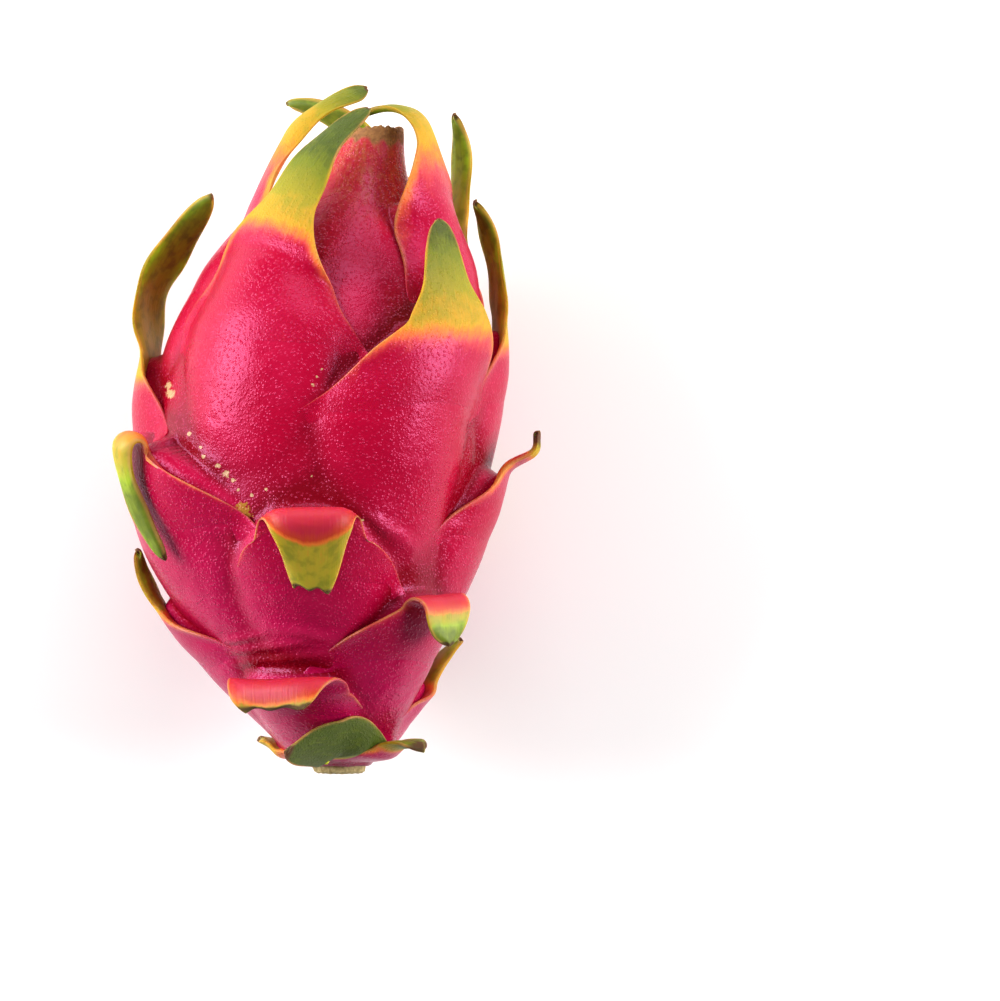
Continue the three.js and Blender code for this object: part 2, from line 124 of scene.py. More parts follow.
# Every scale: the values of these columns, in mm and degrees, then what differs from a usual scale.
SCALE_COLUMNS = (
    "name", "station", "turn", "half_base", "drop", "half_tongue",
    "tongue", "free", "swell", "reach", "lift", "curl",
)
SCALES = [
    # The crown, bent in over the neck.
    ("crown_front_left", 119, -42, 22.5, 30, 7.2, 29, 15, 8.5, 66, 6, -30,
     dict(skew=12, shoulder=1.3, lean=4, sweep=8, tip=1.5, taper=1.1, channel=50, blush=-12, yellow=-4,
          green=16, dry=0.3, rim=0.5)),
    ("crown_front_right", 129, 62, 16, 30, 5.8, 23, 11, 8, 67, 8, -96,
     dict(skew=8, sweep=-20, tip=1.6, taper=0.55, blush=-14, yellow=8, green=22, dry=0.4)),
    ("crown_left", 125, -88, 15, 26, 4, 32, 14, 7.5, 60, 14, -52,
     dict(tip=2.4, sweep=4, twist=50, blush=-10, yellow=15, green=34, dry=0.6)),
    ("crown_back", 131, 162, 17, 24, 3.8, 25, 10, 5, 54, 8, 0,
     dict(sweep=104, blush=-8, yellow=0, green=14, dry=0.8)),
    ("crown_right", 115, 116, 17, 20, 3.8, 25, 6, 6, 52, 36, -34,
     dict(twist=30, blush=-10, yellow=-4, green=26, dry=1)),

    # The shoulder of the fruit, standing up.
    ("shoulder_front_right", 94, 43, 22, 14, 9.2, 22.4, 1, 9, 56, 4, -4,
     dict(skew=-8, shoulder=0.95, lean=-10, tip=1.8, taper=1, channel=46, blush=-8, yellow=1, green=22,
          dry=0.3)),
    ("shoulder_right", 96, 98, 18, 15, 5.4, 27, 4, 7, 52, 4, -24,
     dict(twist=30, blush=-10, yellow=-4, green=26, dry=0.6)),
    ("shoulder_left", 90, -98, 20, 14, 7.4, 41, 3, 7, 62, 26, -54,
     dict(fold=0.3, spread=0.6, twist=-60, blush=-10, yellow=-4, green=38, dry=0.4)),
    ("shoulder_back", 99, 184, 22, 16, 5.5, 26, 2, 4.4, 50, 2, -24, {}),
    ("shoulder_back_right", 92, 146, 20, 14, 5, 24, 2, 5, 46, 8, -16, {}),

    # The middle, folded outwards.
    ("middle_left", 70, -60, 32, 14, 3.4, 31, 1, 8.5, 52, 44, 146,
     dict(skew=-14, shoulder=0.8, fold=0.09, spread=0.18, sweep=44, twist=-45, tip=1.2, arch=2, rim=0.25,
          blush=-2, yellow=6, green=16, dry=0.5)),
    ("middle_right", 66, 84, 18, 13, 4.6, 12, 3, 7, 46, 50, -70,
     dict(fold=0.6, spread=0.5, blush=2, yellow=7, green=14, dry=3)),
    ("middle_front", 55, 0, 20, 11, 10.6, 20, 1, 7, 42, 28, 160,
     dict(shoulder=0.6, fold=0.1, spread=0.2, tip=4, taper=0.9, channel=30, arch=4.5, rim=0.12, blush=5,
          yellow=8.5, green=60, dry=1.2, ragged=2.4, wave=1.1)),
    ("middle_back_left", 62, -136, 18, 12, 5, 18, 2, 4.4, 40, 4, -6, {}),
    ("middle_back_right", 56, 132, 18, 12, 5, 20, 2, 5, 40, 12, -4, {}),

    # The lower fruit and the stem end.
    ("lower_left", 38, -94, 17, 12, 3.6, 13.5, 2, 7.5, 38, -4, -20,
     dict(twist=-40, blush=-6, yellow=0, green=12, dry=0.6)),
    ("lower_right", 37, 46, 18, 11, 7, 12, 1, 6, 34, 22, 126,
     dict(shoulder=0.8, fold=0.2, spread=0.4, tip=1.8, blush=3, yellow=5.5, green=9, dry=1, rim=0.14)),
    ("lower_back", 36, 180, 17, 10, 5, 16, 2, 3.4, 32, 4, -2, {}),
    ("lower_front", 20, -22, 15, 5, 12, 7.5, 1, 6, 26, 26, 108,
     dict(shoulder=0.6, fold=0.2, spread=0.5, tip=7, channel=24, arch=3, rim=0.1, blush=3.4, yellow=7.2,
          green=8.6, dry=1, ragged=1.6, wave=1.5)),
    ("lower_back_right", 20, 122, 13, 8, 4.4, 14, 2, 5, 24, 8, 14, {}),
    ("stem_front", 6, 18, 9, 2, 8, 18, 0.5, 2.6, 14, 14, 6,
     dict(lean=-68, sweep=-10, tip=0.8, channel=40, blush=-5, yellow=-4, green=-2, dry=1.4)),
    ("stem_right", 5, 62, 9, 3, 6, 8, 1.5, 3, 12, 24, 30, dict(tip=3, blush=-1, yellow=2, green=5, dry=2)),
    ("stem_left", 5, -110, 9, 3, 5, 5, 1.5, 3, 16, 6, 10, dict(tip=1.6)),
    ("stem_back", 6, 160, 9, 3, 5.5, 9, 1.5, 3, 12, 20, 20, {}),
]


def tone(code):
    """Linear colour of an sRGB colour written as six hexadecimal digits."""
    shares = [int(code[i:i + 2], 16) / 255 for i in (0, 2, 4)]
    return tuple(s / 12.92 if s <= 0.04045 else ((s + 0.055) / 1.055) ** 2.4 for s in shares)


def mm(name, description, default):
    """A length in metres whose default is given in mm."""
    return FloatProperty(name=name, description=description, default=default * MM, unit="LENGTH", precision=4)


def degrees(name, description, default):
    """An angle in radians whose default is given in degrees."""
    return FloatProperty(name=name, description=description, default=math.radians(default), subtype="ANGLE")


def watts(name, description, default):
    """The power of a light."""
    return FloatProperty(name=name, description=description, default=default, unit="POWER")


def colour(name, description, code):
    """A colour whose default is given as six hexadecimal digits."""
    return FloatVectorProperty(
        name=name, description=description, default=tone(code), subtype="COLOR", min=0, max=1, size=3,
    )


class FruitSizes(bpy.types.PropertyGroup):
    """The driving sizes of the fruit."""

    length: mm("Length", "Skin from the stem end to the neck's rim", 140)
    rest_station: mm("Rest station", "Distance of the origin from the stem end", 68)
    axis_height: mm("Axis height", "Height of the fruit's axis over the surface", 36)
    stem_offset: mm("Stem offset", "Sideways place of the axis at the stem end", 3)
    crown_offset: mm("Crown offset", "Sideways place of the axis at the crown", 11)
    bow: mm("Bow", "How far the axis bows sideways in the middle", 8.6)
    blade_thickness: mm("Scale thickness", "Thickness of a scale in its middle", 2.3)
    margin_step: mm("Margin step", "How proud of the skin a scale's margin lies", 0.7)
    skin_rows: IntProperty(name="Skin rows", description="Rows of faces along the skin", default=236, min=40)
    skin_columns: IntProperty(name="Skin columns", description="Faces round the skin", default=340, min=48)
    blade_rows: IntProperty(name="Scale rows", description="Rows of faces along a scale", default=48, min=12)
    blade_columns: IntProperty(name="Scale columns", description="Faces across a scale", default=24, min=6)


class FruitColours(bpy.types.PropertyGroup):
    """The colours of the fruit."""

    crimson: colour("Crimson", "Ripe skin", "AE0032")
    magenta: colour("Magenta", "Ripe skin towards the stem", "AE044C")
    # Painted shade: the darker red laid into the valleys and, faintly, into the stem's recess.
    painted_shade_red: colour("Deep red", "Skin in the valleys", "800016")
    # Colour of waxy patches, and of the painted highlight on the crests of the folds.
    bloom_and_highlight: colour("Bloom", "Pale waxy bloom on the swellings", "C82C5C")
    speckle: colour("Speckle", "Fine pale dots in the skin", "E24474")
    salmon: colour("Salmon", "Where the skin begins to turn", "D45A4C")
    orange: colour("Orange", "Base of a tongue", "DC7A2C")
    yellow: colour("Yellow", "Lower part of a tongue", "C49A18")
    yellow_green: colour("Yellow green", "Middle of a tongue", "989210")
    green: colour("Green", "Outer part of a tongue", "72800E")
    dark_green: colour("Dark green", "End of a tongue", "4A600E")
    inner_red: colour("Inner red", "Inner face of a scale at its base", "BE2442")
    inner_orange: colour("Inner orange", "Inner face where a tongue begins", "C24420")
    olive: colour("Olive", "Inner face of a tongue", "B49E2A")
    inner_green: colour("Inner green", "Inner face towards the end of a tongue", "A0B428")
    tan: colour("Tan", "Dry margins, scars and flecks", "BC8C50")
    brown: colour("Brown", "Withered tips", "5A4024")
    straw: colour("Straw", "Dry remains of the flower", "9A7A52")
    bark: colour("Bark", "Cut stub of the stem", "8D7A4A")
    pith: colour("Pith", "Middle of the cut stem", "CDBB8A")


class ScaleShape(bpy.types.PropertyGroup):
    """One scale of the fruit: where it grows and how it is shaped and coloured."""

    station: mm("Station", "Where its tongue begins, along the fruit", 60)
    turn: degrees("Turn", "Where it grows, round the fruit from the top towards +X", 0)
    half_base: mm("Half base", "Half the width of its base", 18)
    drop: mm("Drop", "How far below the tongue the base is that wide", 14)
    skew: degrees("Skew", "Turn of the base's middle past the tongue's", 0)
    shoulder: FloatProperty(name="Shoulder", description="How the base widens, 1 is straight", default=1.1)
    half_tongue: mm("Half tongue", "Half the width of the tongue where it begins", 5)
    tongue: mm("Tongue", "Length of the tongue", 26)
    tip: mm("Tip", "Half the width of the tongue's end", 0.6)
    taper: FloatProperty(name="Taper", description="How long the tongue keeps its width", default=2.2)
    free: mm("Free", "How far below the tongue the blade already stands clear", 3)
    swell: mm("Swell", "Height of the swelling under it", 7)
    reach: mm("Reach", "How far down the fruit the swelling runs", 50)
    lift: degrees("Lift", "Outward turn where it leaves the skin", 8)
    curl: degrees("Curl", "Outward turn along the tongue", 0)
    fold: FloatProperty(name="Fold", description="Where along the tongue the curl is", default=0.5)
    spread: FloatProperty(name="Spread", description="Share of the tongue that the curl takes", default=1)
    lean: degrees("Lean", "Sideways turn at the start", 0)
    sweep: degrees("Sweep", "Sideways turn along the tongue", 0)
    twist: degrees("Twist", "Turn about its own length along the tongue", 0)
    channel: degrees("Channel", "How far the tongue is bent into a channel", 60)
    blush: mm("Blush", "Where the pink ends, past the tongue's start", -6)
    yellow: mm("Yellow", "Where it is yellow, past the tongue's start", 1)
    green: mm("Green", "Where it turns green, past the tongue's start", 18)
    dry: mm("Dry", "Length of the withered tip", 0.9)
    ragged: mm("Ragged", "How far the end is torn in", 0.3)
    rim: FloatProperty(name="Rim", description="How far its shoulders' margins have turned", default=0.38)
    arch: mm("Arch", "How far the fold's middle stands past its sides", 0)
    wave: mm("Wave", "How far the free margins wave", 0.35)


class StudioSettings(bpy.types.PropertyGroup):
    """The camera, the lights and the floor."""

    view_width: mm("View width", "Width of the picture at the fruit's middle height", 220.5)
    view_x: mm("View X", "Middle of the picture across the fruit", 38.6)
    view_y: mm("View Y", "Middle of the picture along the fruit", -9.7)
    distance: FloatProperty(name="Distance", description="Camera over the fruit", default=1.6, unit="LENGTH")
    key_power: watts("Key power", "Power of the main softbox", 11.2)
    fill_power: watts("Fill power", "Power of the side panel", 7.6)
    far_power: watts("Far power", "Power of the panel beyond the crown", 3)
    surround: FloatProperty(name="Surround", description="Brightness of the white surround", default=0.25)
    floor: colour("Floor", "Plain pale floor", "FBFBFB")


class FruitSettings(bpy.types.PropertyGroup):
    """Everything that a user may change before making the fruit."""

    sizes: PointerProperty(type=FruitSizes, name="Sizes", description="Driving sizes")
    colours: PointerProperty(type=FruitColours, name="Colours", description="Colours of the fruit")
    scales: CollectionProperty(type=ScaleShape, name="Scales", description="Every scale of the fruit")
    studio: PointerProperty(type=StudioSettings, name="Studio", description="Camera, lights and floor")


def settings():
    return bpy.context.scene.dragon_fruit


def fill_scales():
    """Gives the scene its scales from the rows above."""
    shapes = settings().scales
    shapes.clear()
    for *columns, others in SCALES:
        shape = shapes.add()
        for name, value in (*zip(SCALE_COLUMNS, columns), *others.items()):
            if name in LENGTHS:
                value = value * MM
            elif name in ANGLES:
                value = math.radians(value)
            setattr(shape, name, value)


# Shape formulas, on arrays of points.

def smooth_step(start, end, value):
    share = np.clip((value - start) / (end - start), 0, 1)
    return share * share * (3 - 2 * share)


def lerp(a, b, share):
    return a + (b - a) * share


def rounded_max(a, b, blend):
    """The larger of two heights, with a round join where they meet."""
    near = np.maximum(blend - np.abs(a - b), 0) / blend
    return np.maximum(a, b) + near * near * blend / 4


def measured_curve(points):
    """Lengths, points and directions along a uniform Catmull-Rom curve through the points."""
    points = np.array(points, float)
    last = len(points) - 1
    t = np.linspace(0, last, CURVE_STEPS + 1)
    i = np.minimum(t.astype(int), last - 1)
    w = (t - i)[:, None]
    a, b = points[i], points[i + 1]
    before, after = points[np.maximum(i - 1, 0)], points[np.minimum(i + 2, last)]
    start, end = (b - before) / 2, (after - a) / 2
    curve = (2 * a - 2 * b + start + end) * w**3 + (3 * b - 3 * a - 2 * start - end) * w**2 + start * w + a
    lengths = np.concatenate([[0], np.cumsum(np.linalg.norm(np.diff(curve, axis=0), axis=1))])
    along = np.gradient(curve, lengths, axis=0)
    return lengths, curve, along / np.linalg.norm(along, axis=1)[:, None]


LENGTHS_ALONG, MERIDIAN_POINTS, MERIDIAN_DIRECTIONS = measured_curve(np.array(MERIDIAN) * MM)
MERIDIAN_LENGTH = LENGTHS_ALONG[-1]


def on_meridian(share, values):
    return np.interp(np.clip(share, 0, 1) * MERIDIAN_LENGTH, LENGTHS_ALONG, values)


def place(station, radius, turn):
    """Points at a station, radius and turn round the bowed axis."""
    sizes = settings().sizes
    along = station / sizes.length
    axis = sizes.stem_offset * (1 - along) + sizes.crown_offset * along - sizes.bow * np.sin(np.pi * along)
    x = axis + radius * np.sin(turn)
    y = station - sizes.rest_station
    z = sizes.axis_height + radius * np.cos(turn)
    return np.stack(np.broadcast_arrays(x, y, z), axis=-1)


def skin_point(share, turn, height):
    """Points on the skin, raised along its normal. Beyond the ends the meridian runs straight on."""
    beyond = (share - np.clip(share, 0, 1)) * MERIDIAN_LENGTH
    station, radius = (on_meridian(share, values) for values in MERIDIAN_POINTS.T)
    ahead, outward = (on_meridian(share, values) for values in MERIDIAN_DIRECTIONS.T)
    station = station + ahead * beyond - outward * height
    radius = radius + outward * beyond + ahead * height
    return place(station, np.maximum(radius, LEAST_RADIUS), turn)


def rested(points):
    """Flattens what the fruit lies on: nothing reaches below the surface."""
    points[..., 2] = np.maximum(points[..., 2], 0)
    return points


def wrap_radius(share):
    return np.maximum(on_meridian(share, MERIDIAN_POINTS[:, 1]), LEAST_WRAP_RADIUS)


def share_of(shape):
    """Where a scale's tongue begins, as a share of the meridian."""
    return np.interp(shape.station, MERIDIAN_POINTS[:, 0], LENGTHS_ALONG) / MERIDIAN_LENGTH


def mid_turn(shape, along):
    """The turn of a scale's midline, which the skew carries round between the tongue and the base."""
    return shape.turn + shape.skew * np.clip(-along / shape.drop, 0, 1.4)


def outline(shape, along):
    """Half width of a scale: the tongue above its start, the shoulders below, then the base."""
    run = np.clip(along / shape.tongue, 0, 1)
    tongue = shape.tip + (shape.half_tongue - shape.tip) * (1 - run**shape.taper) ** TAPER_POWER
    down = np.clip(-along / shape.drop, 0, 1 + 0.6 * ROOT_RUN / shape.drop)
    base = shape.half_tongue + (shape.half_base - shape.half_tongue) * down**shape.shoulder
    return np.where(along > 0, tongue, base)


def swelling_width(shape, along):
    """Half width of the swelling under a scale, which narrows down the fruit below the shoulders."""
    down = np.clip((-along - shape.drop) / (shape.reach - shape.drop), 0, 1)
    narrowed = shape.half_base * (1 - SWELLING_NARROWING * down**SWELLING_NARROWING_POWER)
    return np.where(along > -shape.drop, outline(shape, along), narrowed)


def plate_height(shape, along, across):
    """Height of the swelling's plate: it grows up the fruit and falls away to both sides."""
    rise = 1 - np.clip(-along / shape.reach, 0, 1) ** SWELLING_RISE
    return shape.swell * rise * (1 - SWELLING_SIDE_FALL * (across / shape.half_base) ** 2)


def swelling(shape, share, turn):
    along = (share - share_of(shape)) * MERIDIAN_LENGTH
    round_it = turn - mid_turn(shape, along)
    across = np.arctan2(np.sin(round_it), np.cos(round_it)) * wrap_radius(share)
    side = np.minimum(np.abs(across) / swelling_width(shape, along), 1)
    top = 1 - smooth_step(-shape.free, -shape.free + SWELLING_TOP_RUN, along)
    return plate_height(shape, along, across) * (1 - side * side) ** SWELLING_DOME * top


def skin_height(share, turn):
    """How far the skin stands above the meridian: the highest of the swellings there."""
    height = np.zeros(np.broadcast(share, turn).shape)
    for shape in settings().scales:
        height = rounded_max(height, swelling(shape, share, turn), SWELLING_BLEND)
    ends = smooth_step(*SWELLINGS_FADE_AT_STEM, share) * (1 - smooth_step(*SWELLINGS_FADE_AT_CROWN, share))
    return ends * height


def lying_point(shape, along, across):
    """The part of a blade on the skin, rising out of it at the root and riding over its neighbours."""
    share = share_of(shape) + along / MERIDIAN_LENGTH
    turn = mid_turn(shape, along) + across / wrap_radius(share)
    under = skin_height(share, turn)
    plate = np.maximum(plate_height(shape, along, across), under)
    touch = -shape.drop - ROOT_TOUCH
    sunk = np.clip((touch - along) / (ROOT_RUN - ROOT_TOUCH), 0, 1) ** 2
    step = settings().sizes.margin_step * smooth_step(touch, -shape.drop + ROOT_TOUCH, along)
    run = min(shape.drop, STANDING_RUN)
    flat = smooth_step(-run, -0.3 * run, along)
    return skin_point(share, turn, lerp(under, plate, flat) + step - ROOT_SINK * sunk)


def curl_share(shape, along):
    return smooth_step(shape.fold - shape.spread / 2, shape.fold + shape.spread / 2, along / shape.tongue)


def outward_turn(shape, along):
    """How far a blade has turned outwards: its lift where it leaves the skin, then its curl."""
    lifted = smooth_step(-shape.free, -shape.free + LEAVING_RUN, along)
    return shape.lift * lifted + shape.curl * curl_share(shape, along)


def turned(line, outward, sideways, about):
    """The directions ahead, aside and out, turned outwards, then sideways, then about the length."""
    ahead, aside, out = line
    turn = Quaternion(aside, outward)
    ahead, out = turn @ ahead, turn @ out
    turn = Quaternion(out, -sideways)
    ahead, aside = turn @ ahead, turn @ aside
    turn = Quaternion(ahead, about)
    return ahead, turn @ aside, turn @ out


def free_line(shape):
    """Places and directions along the line that the free part of a blade follows."""
    start = -shape.free
    turn = mid_turn(shape, np.array(start))
    steps = np.array([start, start - RIDGE_STEP])
    share = share_of(shape) + steps / MERIDIAN_LENGTH
    ridge = skin_point(share, turn, plate_height(shape, steps, 0))
    ahead = Vector(ridge[0] - ridge[1]).normalized()
    aside = Vector((math.cos(turn), 0, -math.sin(turn)))
    aside = (aside - ahead * aside.dot(ahead)).normalized()
    line = turned((ahead, aside, aside.cross(ahead)), 0, shape.lean, 0)
    at = Vector(lying_point(shape, np.array([start]), np.array([0.0]))[0])
    stations = np.linspace(start, shape.tongue, LINE_STEPS)
    outward = outward_turn(shape, stations)
    step = stations[1] - stations[0]
    share = step / (shape.free + shape.tongue)
    back = start - LINE_RUN_BACK
    rows = [(back, *(at + line[0] * (back - start)), *line[1], *line[2]), (start, *at, *line[1], *line[2])]
    for i in range(1, LINE_STEPS):
        line = turned(line, outward[i] - outward[i - 1], shape.sweep * share, shape.twist * share)
        at = at + line[0] * step
        rows.append((stations[i], *at, *line[1], *line[2]))
    return np.array(rows)


def free_point(shape, line, along, across):
    """The free part, bent round the fruit where it leaves the skin, and into a channel further on."""
    at, aside, out = (
        np.stack([np.interp(along, line[:, 0], line[:, k + axis]) for axis in range(3)], axis=-1)
        for k in (1, 4, 7)
    )
    radius = wrap_radius(share_of(shape) - shape.free / MERIDIAN_LENGTH)
    height = plate_height(shape, -shape.free, 0)
    leave = smooth_step(-shape.free, CHANNEL_FROM * shape.tongue, along)
    across = across * lerp(1 + height / radius, 1, leave)
    bend = lerp(1 / (radius + height), shape.channel / (2 * shape.half_tongue), leave)
    sideways = (np.sin(bend * across) / bend)[..., None]
    inwards = ((1 - np.cos(bend * across)) / bend)[..., None]
    return at + aside * sideways - out * inwards, out


def blade_stations(shape, shares):
    """Stations along a blade, closer together where it curls."""
    root = max(-shape.drop - ROOT_RUN, ROOT_CLEARANCE - share_of(shape) * MERIDIAN_LENGTH)
    stations = np.linspace(root, shape.tongue, STATION_STEPS)
    closer = abs(math.degrees(shape.curl)) * ROWS_FOR_CURL * curl_share(shape, stations)
    rows = np.linspace(0, 1, STATION_STEPS) + closer
    return np.interp(shares, (rows - rows[0]) / (rows[-1] - rows[0]), stations)


def ragged_end(shape, along, side, number):
    """How far each point of the tongue's end is torn in."""
    teeth = 0.5 + 0.5 * np.sin(2.3 * side + 2.1 * number) * np.cos(4.1 * side + number)
    return shape.ragged * teeth * np.clip(along / shape.tongue, 0, 1) ** 6


def rounded_end(shape, run):
    """How far a tongue's end is drawn in, to be round where it isn't torn."""
    if shape.ragged > TORN_FROM:
        return 1.0
    start = 1 - 1.3 * shape.tip / shape.tongue
    return np.sqrt(np.maximum(1 - np.clip((run - start) / (1 - start), 0, 0.985) ** 2, 0))


def blade_face(shape, along, side, number):
    """The outer face of a blade: on the skin at first, then along its free line, with waved margins."""
    phase = GOLDEN_TURN * number
    uneven = 1 + 0.035 * np.sin(along / (3.1 * MM) + phase) * np.sign(side)
    uneven = uneven + 0.03 * np.sin(along / (5.3 * MM))
    run = np.clip(along / shape.tongue, 0, 1)
    across = side * outline(shape, along) * uneven * rounded_end(shape, run)
    along = along - ragged_end(shape, along, side, number) - shape.arch * side * side * (1 - run * run)
    free = smooth_step(-shape.free - LEAVING_RUN, -shape.free + LEAVING_RUN, along)
    leaving, out = free_point(shape, free_line(shape), along, across)
    wave = np.sin(along / (2.6 * MM) + phase + 1.7 * np.sign(side)) * np.abs(side) ** 3 * shape.wave
    leaving = leaving + out * (wave * free)[..., None]
    return rested(lerp(lying_point(shape, along, across), leaving, free[..., None]))


# Mesh helpers.

def select_only(*pieces):
    """Selects these pieces alone, with the first as the active one."""
    bpy.ops.object.select_all(action="DESELECT")
    for piece in pieces:
        piece.select_set(True)
    if pieces:
        bpy.context.view_layer.objects.active = pieces[0]


def shaped_grid(name, columns, rows, shaper):
    """A grid primitive whose points the shaper puts in place, given their shares across and along.

    The shaper returns the points, the values of each attribute, and the pattern coordinates in metres.
    """
    select_only()
    bpy.ops.mesh.primitive_grid_add(x_subdivisions=columns, y_subdivisions=rows, size=2)
    piece = bpy.context.object
    piece.name = piece.data.name = name
    mesh = piece.data
    flat = np.empty(len(mesh.vertices) * 3)
    mesh.vertices.foreach_get("co", flat)
    flat = flat.reshape(-1, 3)
    order = np.lexsort((flat[:, 0], flat[:, 1].round(6)))
    shares = flat[order].reshape(rows + 1, columns + 1, 3)
    points, attributes, pattern = shaper((shares[..., 0] + 1) / 2, (shares[..., 1] + 1) / 2)
    flat[order] = points.reshape(-1, 3)
    mesh.vertices.foreach_set("co", flat.ravel())
    for key, values in attributes.items():
        column = np.empty(len(flat))
        column[order] = np.broadcast_to(values, shares.shape[:2]).ravel()
        mesh.attributes.new(key, "FLOAT", "POINT").data.foreach_set("value", column)
    place_pattern(mesh, order, np.stack(pattern, axis=-1).reshape(-1, 2))
    mesh.update()
    return piece


def place_pattern(mesh, order, pattern):
    """Sets the piece's UV map, in cm, so that a pattern keeps its true size."""
    uv = np.empty((len(order), 2))
    uv[order] = pattern * 100
    corners = np.empty(len(mesh.loops), int)
    mesh.loops.foreach_get("vertex_index", corners)
    mesh.uv_layers[0].data.foreach_set("uv", uv[corners].ravel())


def merged(piece):
    """Joins the points that lie on each other and turns the faces outwards."""
    select_only(piece)
    bpy.ops.object.mode_set(mode="EDIT")
    bpy.ops.mesh.select_all(action="SELECT")
    bpy.ops.mesh.remove_doubles(threshold=SAME_POINT)
    bpy.ops.mesh.normals_make_consistent(inside=False)
    bpy.ops.object.mode_set(mode="OBJECT")
    bpy.ops.object.shade_smooth()
    return piece


def applied(piece, kind, name, **values):
    """Adds a modifier with these values to a piece and applies it."""
    bpy.context.view_layer.objects.active = piece
    modifier = piece.modifiers.new(name, kind)
    for key, value in values.items():
        setattr(modifier, key, value)
    bpy.ops.object.modifier_apply(modifier=modifier.name)
    return piece


def finished(piece, node, slot, *materials):
    """Gives a piece its materials and its place in the frame."""
    piece.data.materials.clear()
    for material in materials:
        piece.data.materials.append(material)
    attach(piece, "root")
    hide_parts(node)
    return piece


# Material helpers.

def fill(tree, made, inputs):
    """Gives a node's inputs their values. An input is linked where its value is a socket."""
    for name, value in inputs.items():
        socket = made.inputs[name]
        if isinstance(value, bpy.types.NodeSocket):
            tree.links.new(value, socket)
        elif value is not None:
            socket.default_value = (*value, 1) if socket.type == "RGBA" else value


def node(tree, kind, inputs=None, **values):
    made = tree.nodes.new(kind)
    for name, value in values.items():
        setattr(made, name, value)
    fill(tree, made, inputs or {})
    return made


def mix(tree, share, a, b):
    """One colour over another by a share."""
    return node(tree, "ShaderNodeMix", {0: share, 6: a, 7: b}, data_type="RGBA", clamp_factor=True).outputs[2]


def calc(tree, operation, a, b=None, c=None, clamp=False):
    return node(tree, "ShaderNodeMath", {0: a, 1: b, 2: c}, operation=operation, use_clamp=clamp).outputs[0]


def between(tree, value, low, high, to_low=0.0, to_high=1.0):
    """A value's smooth share of the way from low to high."""
    made = node(
        tree, "ShaderNodeMapRange",
        {"Value": value, "From Min": low, "From Max": high, "To Min": to_low, "To Max": to_high},
        interpolation_type="SMOOTHSTEP", clamp=True,
    )
    return made.outputs["Result"]


def noise(tree, vector, scale, detail=3.0, roughness=0.5):
    made = node(
        tree, "ShaderNodeTexNoise",
        {"Vector": vector, "Scale": scale, "Detail": detail, "Roughness": roughness},
    )
    return made.outputs["Fac"]


def attribute(tree, name):
    return node(tree, "ShaderNodeAttribute", attribute_type="GEOMETRY", attribute_name=name).outputs["Fac"]


def object_place(tree):
    return node(tree, "ShaderNodeTexCoord").outputs["Object"]


def stretched(tree, vector, factors):
    """Coordinates times a factor along each axis, so that a pattern on them is drawn out."""
    return node(tree, "ShaderNodeVectorMath", {0: vector, 1: factors}, operation="MULTIPLY").outputs["Vector"]


def ramp(tree, value, stops):
    """Colours along a value, from pairs of a position and a colour."""
    made = node(tree, "ShaderNodeValToRGB", {"Fac": value})
    elements = made.color_ramp.elements
    while len(elements) < len(stops):
        elements.new(0.5)
    for element, (position, colour) in zip(elements, stops):
        element.position = position
        element.color = (*colour, 1)
    return made.outputs["Color"]


def group(name, inputs, outputs):
    """An empty node group, its input sockets and its output node. Its outputs are numbers."""
    tree = bpy.data.node_groups.new(name, "ShaderNodeTree")
    for key, default in inputs.items():
        kind = "NodeSocketFloat" if isinstance(default, float) else "NodeSocketVector"
        tree.interface.new_socket(name=key, in_out="INPUT", socket_type=kind).default_value = default
    for key in outputs:
        tree.interface.new_socket(name=key, in_out="OUTPUT", socket_type="NodeSocketFloat")
    return tree, node(tree, "NodeGroupInput").outputs, node(tree, "NodeGroupOutput")


def skin_grain_group():
    """A dense pale stipple of uneven dots, and the orange-peel relief that goes with it."""
    tree, given, result = group("Skin grain", {"Vector": (0, 0, 0), "Spacing": 1500.0}, ("Dots", "Relief"))
    vector = given["Vector"]
    cells = node(tree, "ShaderNodeTexVoronoi", {"Vector": vector, "Scale": given["Spacing"]})
    tone = node(tree, "ShaderNodeSeparateColor", {"Color": cells.outputs["Color"]}).outputs["Red"]
    dots = between(tree, cells.outputs["Distance"], 0.5, 0.08)
    grain = calc(tree, "MULTIPLY", dots, calc(tree, "MULTIPLY_ADD", tone, 0.6, 0.4))
    patches = between(tree, noise(tree, vector, 240.0, 3.0, 0.6), 0.35, 0.65, 0.55, 1.0)
    peel = calc(tree, "MULTIPLY", noise(tree, vector, 1200.0, 2.0, 0.6), 0.7)
    relief = calc(tree, "MULTIPLY_ADD", grain, 0.8, peel)
    fill(tree, result, {"Dots": calc(tree, "MULTIPLY", grain, patches), "Relief": relief})


def scar_group():
    """A spot with an uneven edge in the upper skin, at a given place seen from above and of a given size."""
    inputs = {"Vector": (0, 0, 0), "Centre": (0, 0, 0), "Radius": 0.002}
    tree, given, result = group("Scar", inputs, ("Mask",))
    vector = given["Vector"]
    ends = {0: stretched(tree, vector, (1, 1, 0)), 1: given["Centre"]}
    away = node(tree, "ShaderNodeVectorMath", ends, operation="DISTANCE").outputs["Value"]
    height = node(tree, "ShaderNodeSeparateXYZ", {"Vector": vector}).outputs["Z"]
    above = between(tree, height, *SCARS_ABOVE)
    share = calc(tree, "DIVIDE", away, given["Radius"])
    uneven = calc(tree, "MULTIPLY_ADD", noise(tree, vector, 1100.0, 4.0, 0.75), 3.2, -1.6)
    spot = between(tree, calc(tree, "ADD", share, uneven), 1.0, 0.75)
    fill(tree, result, {"Mask": calc(tree, "MULTIPLY", spot, above)})


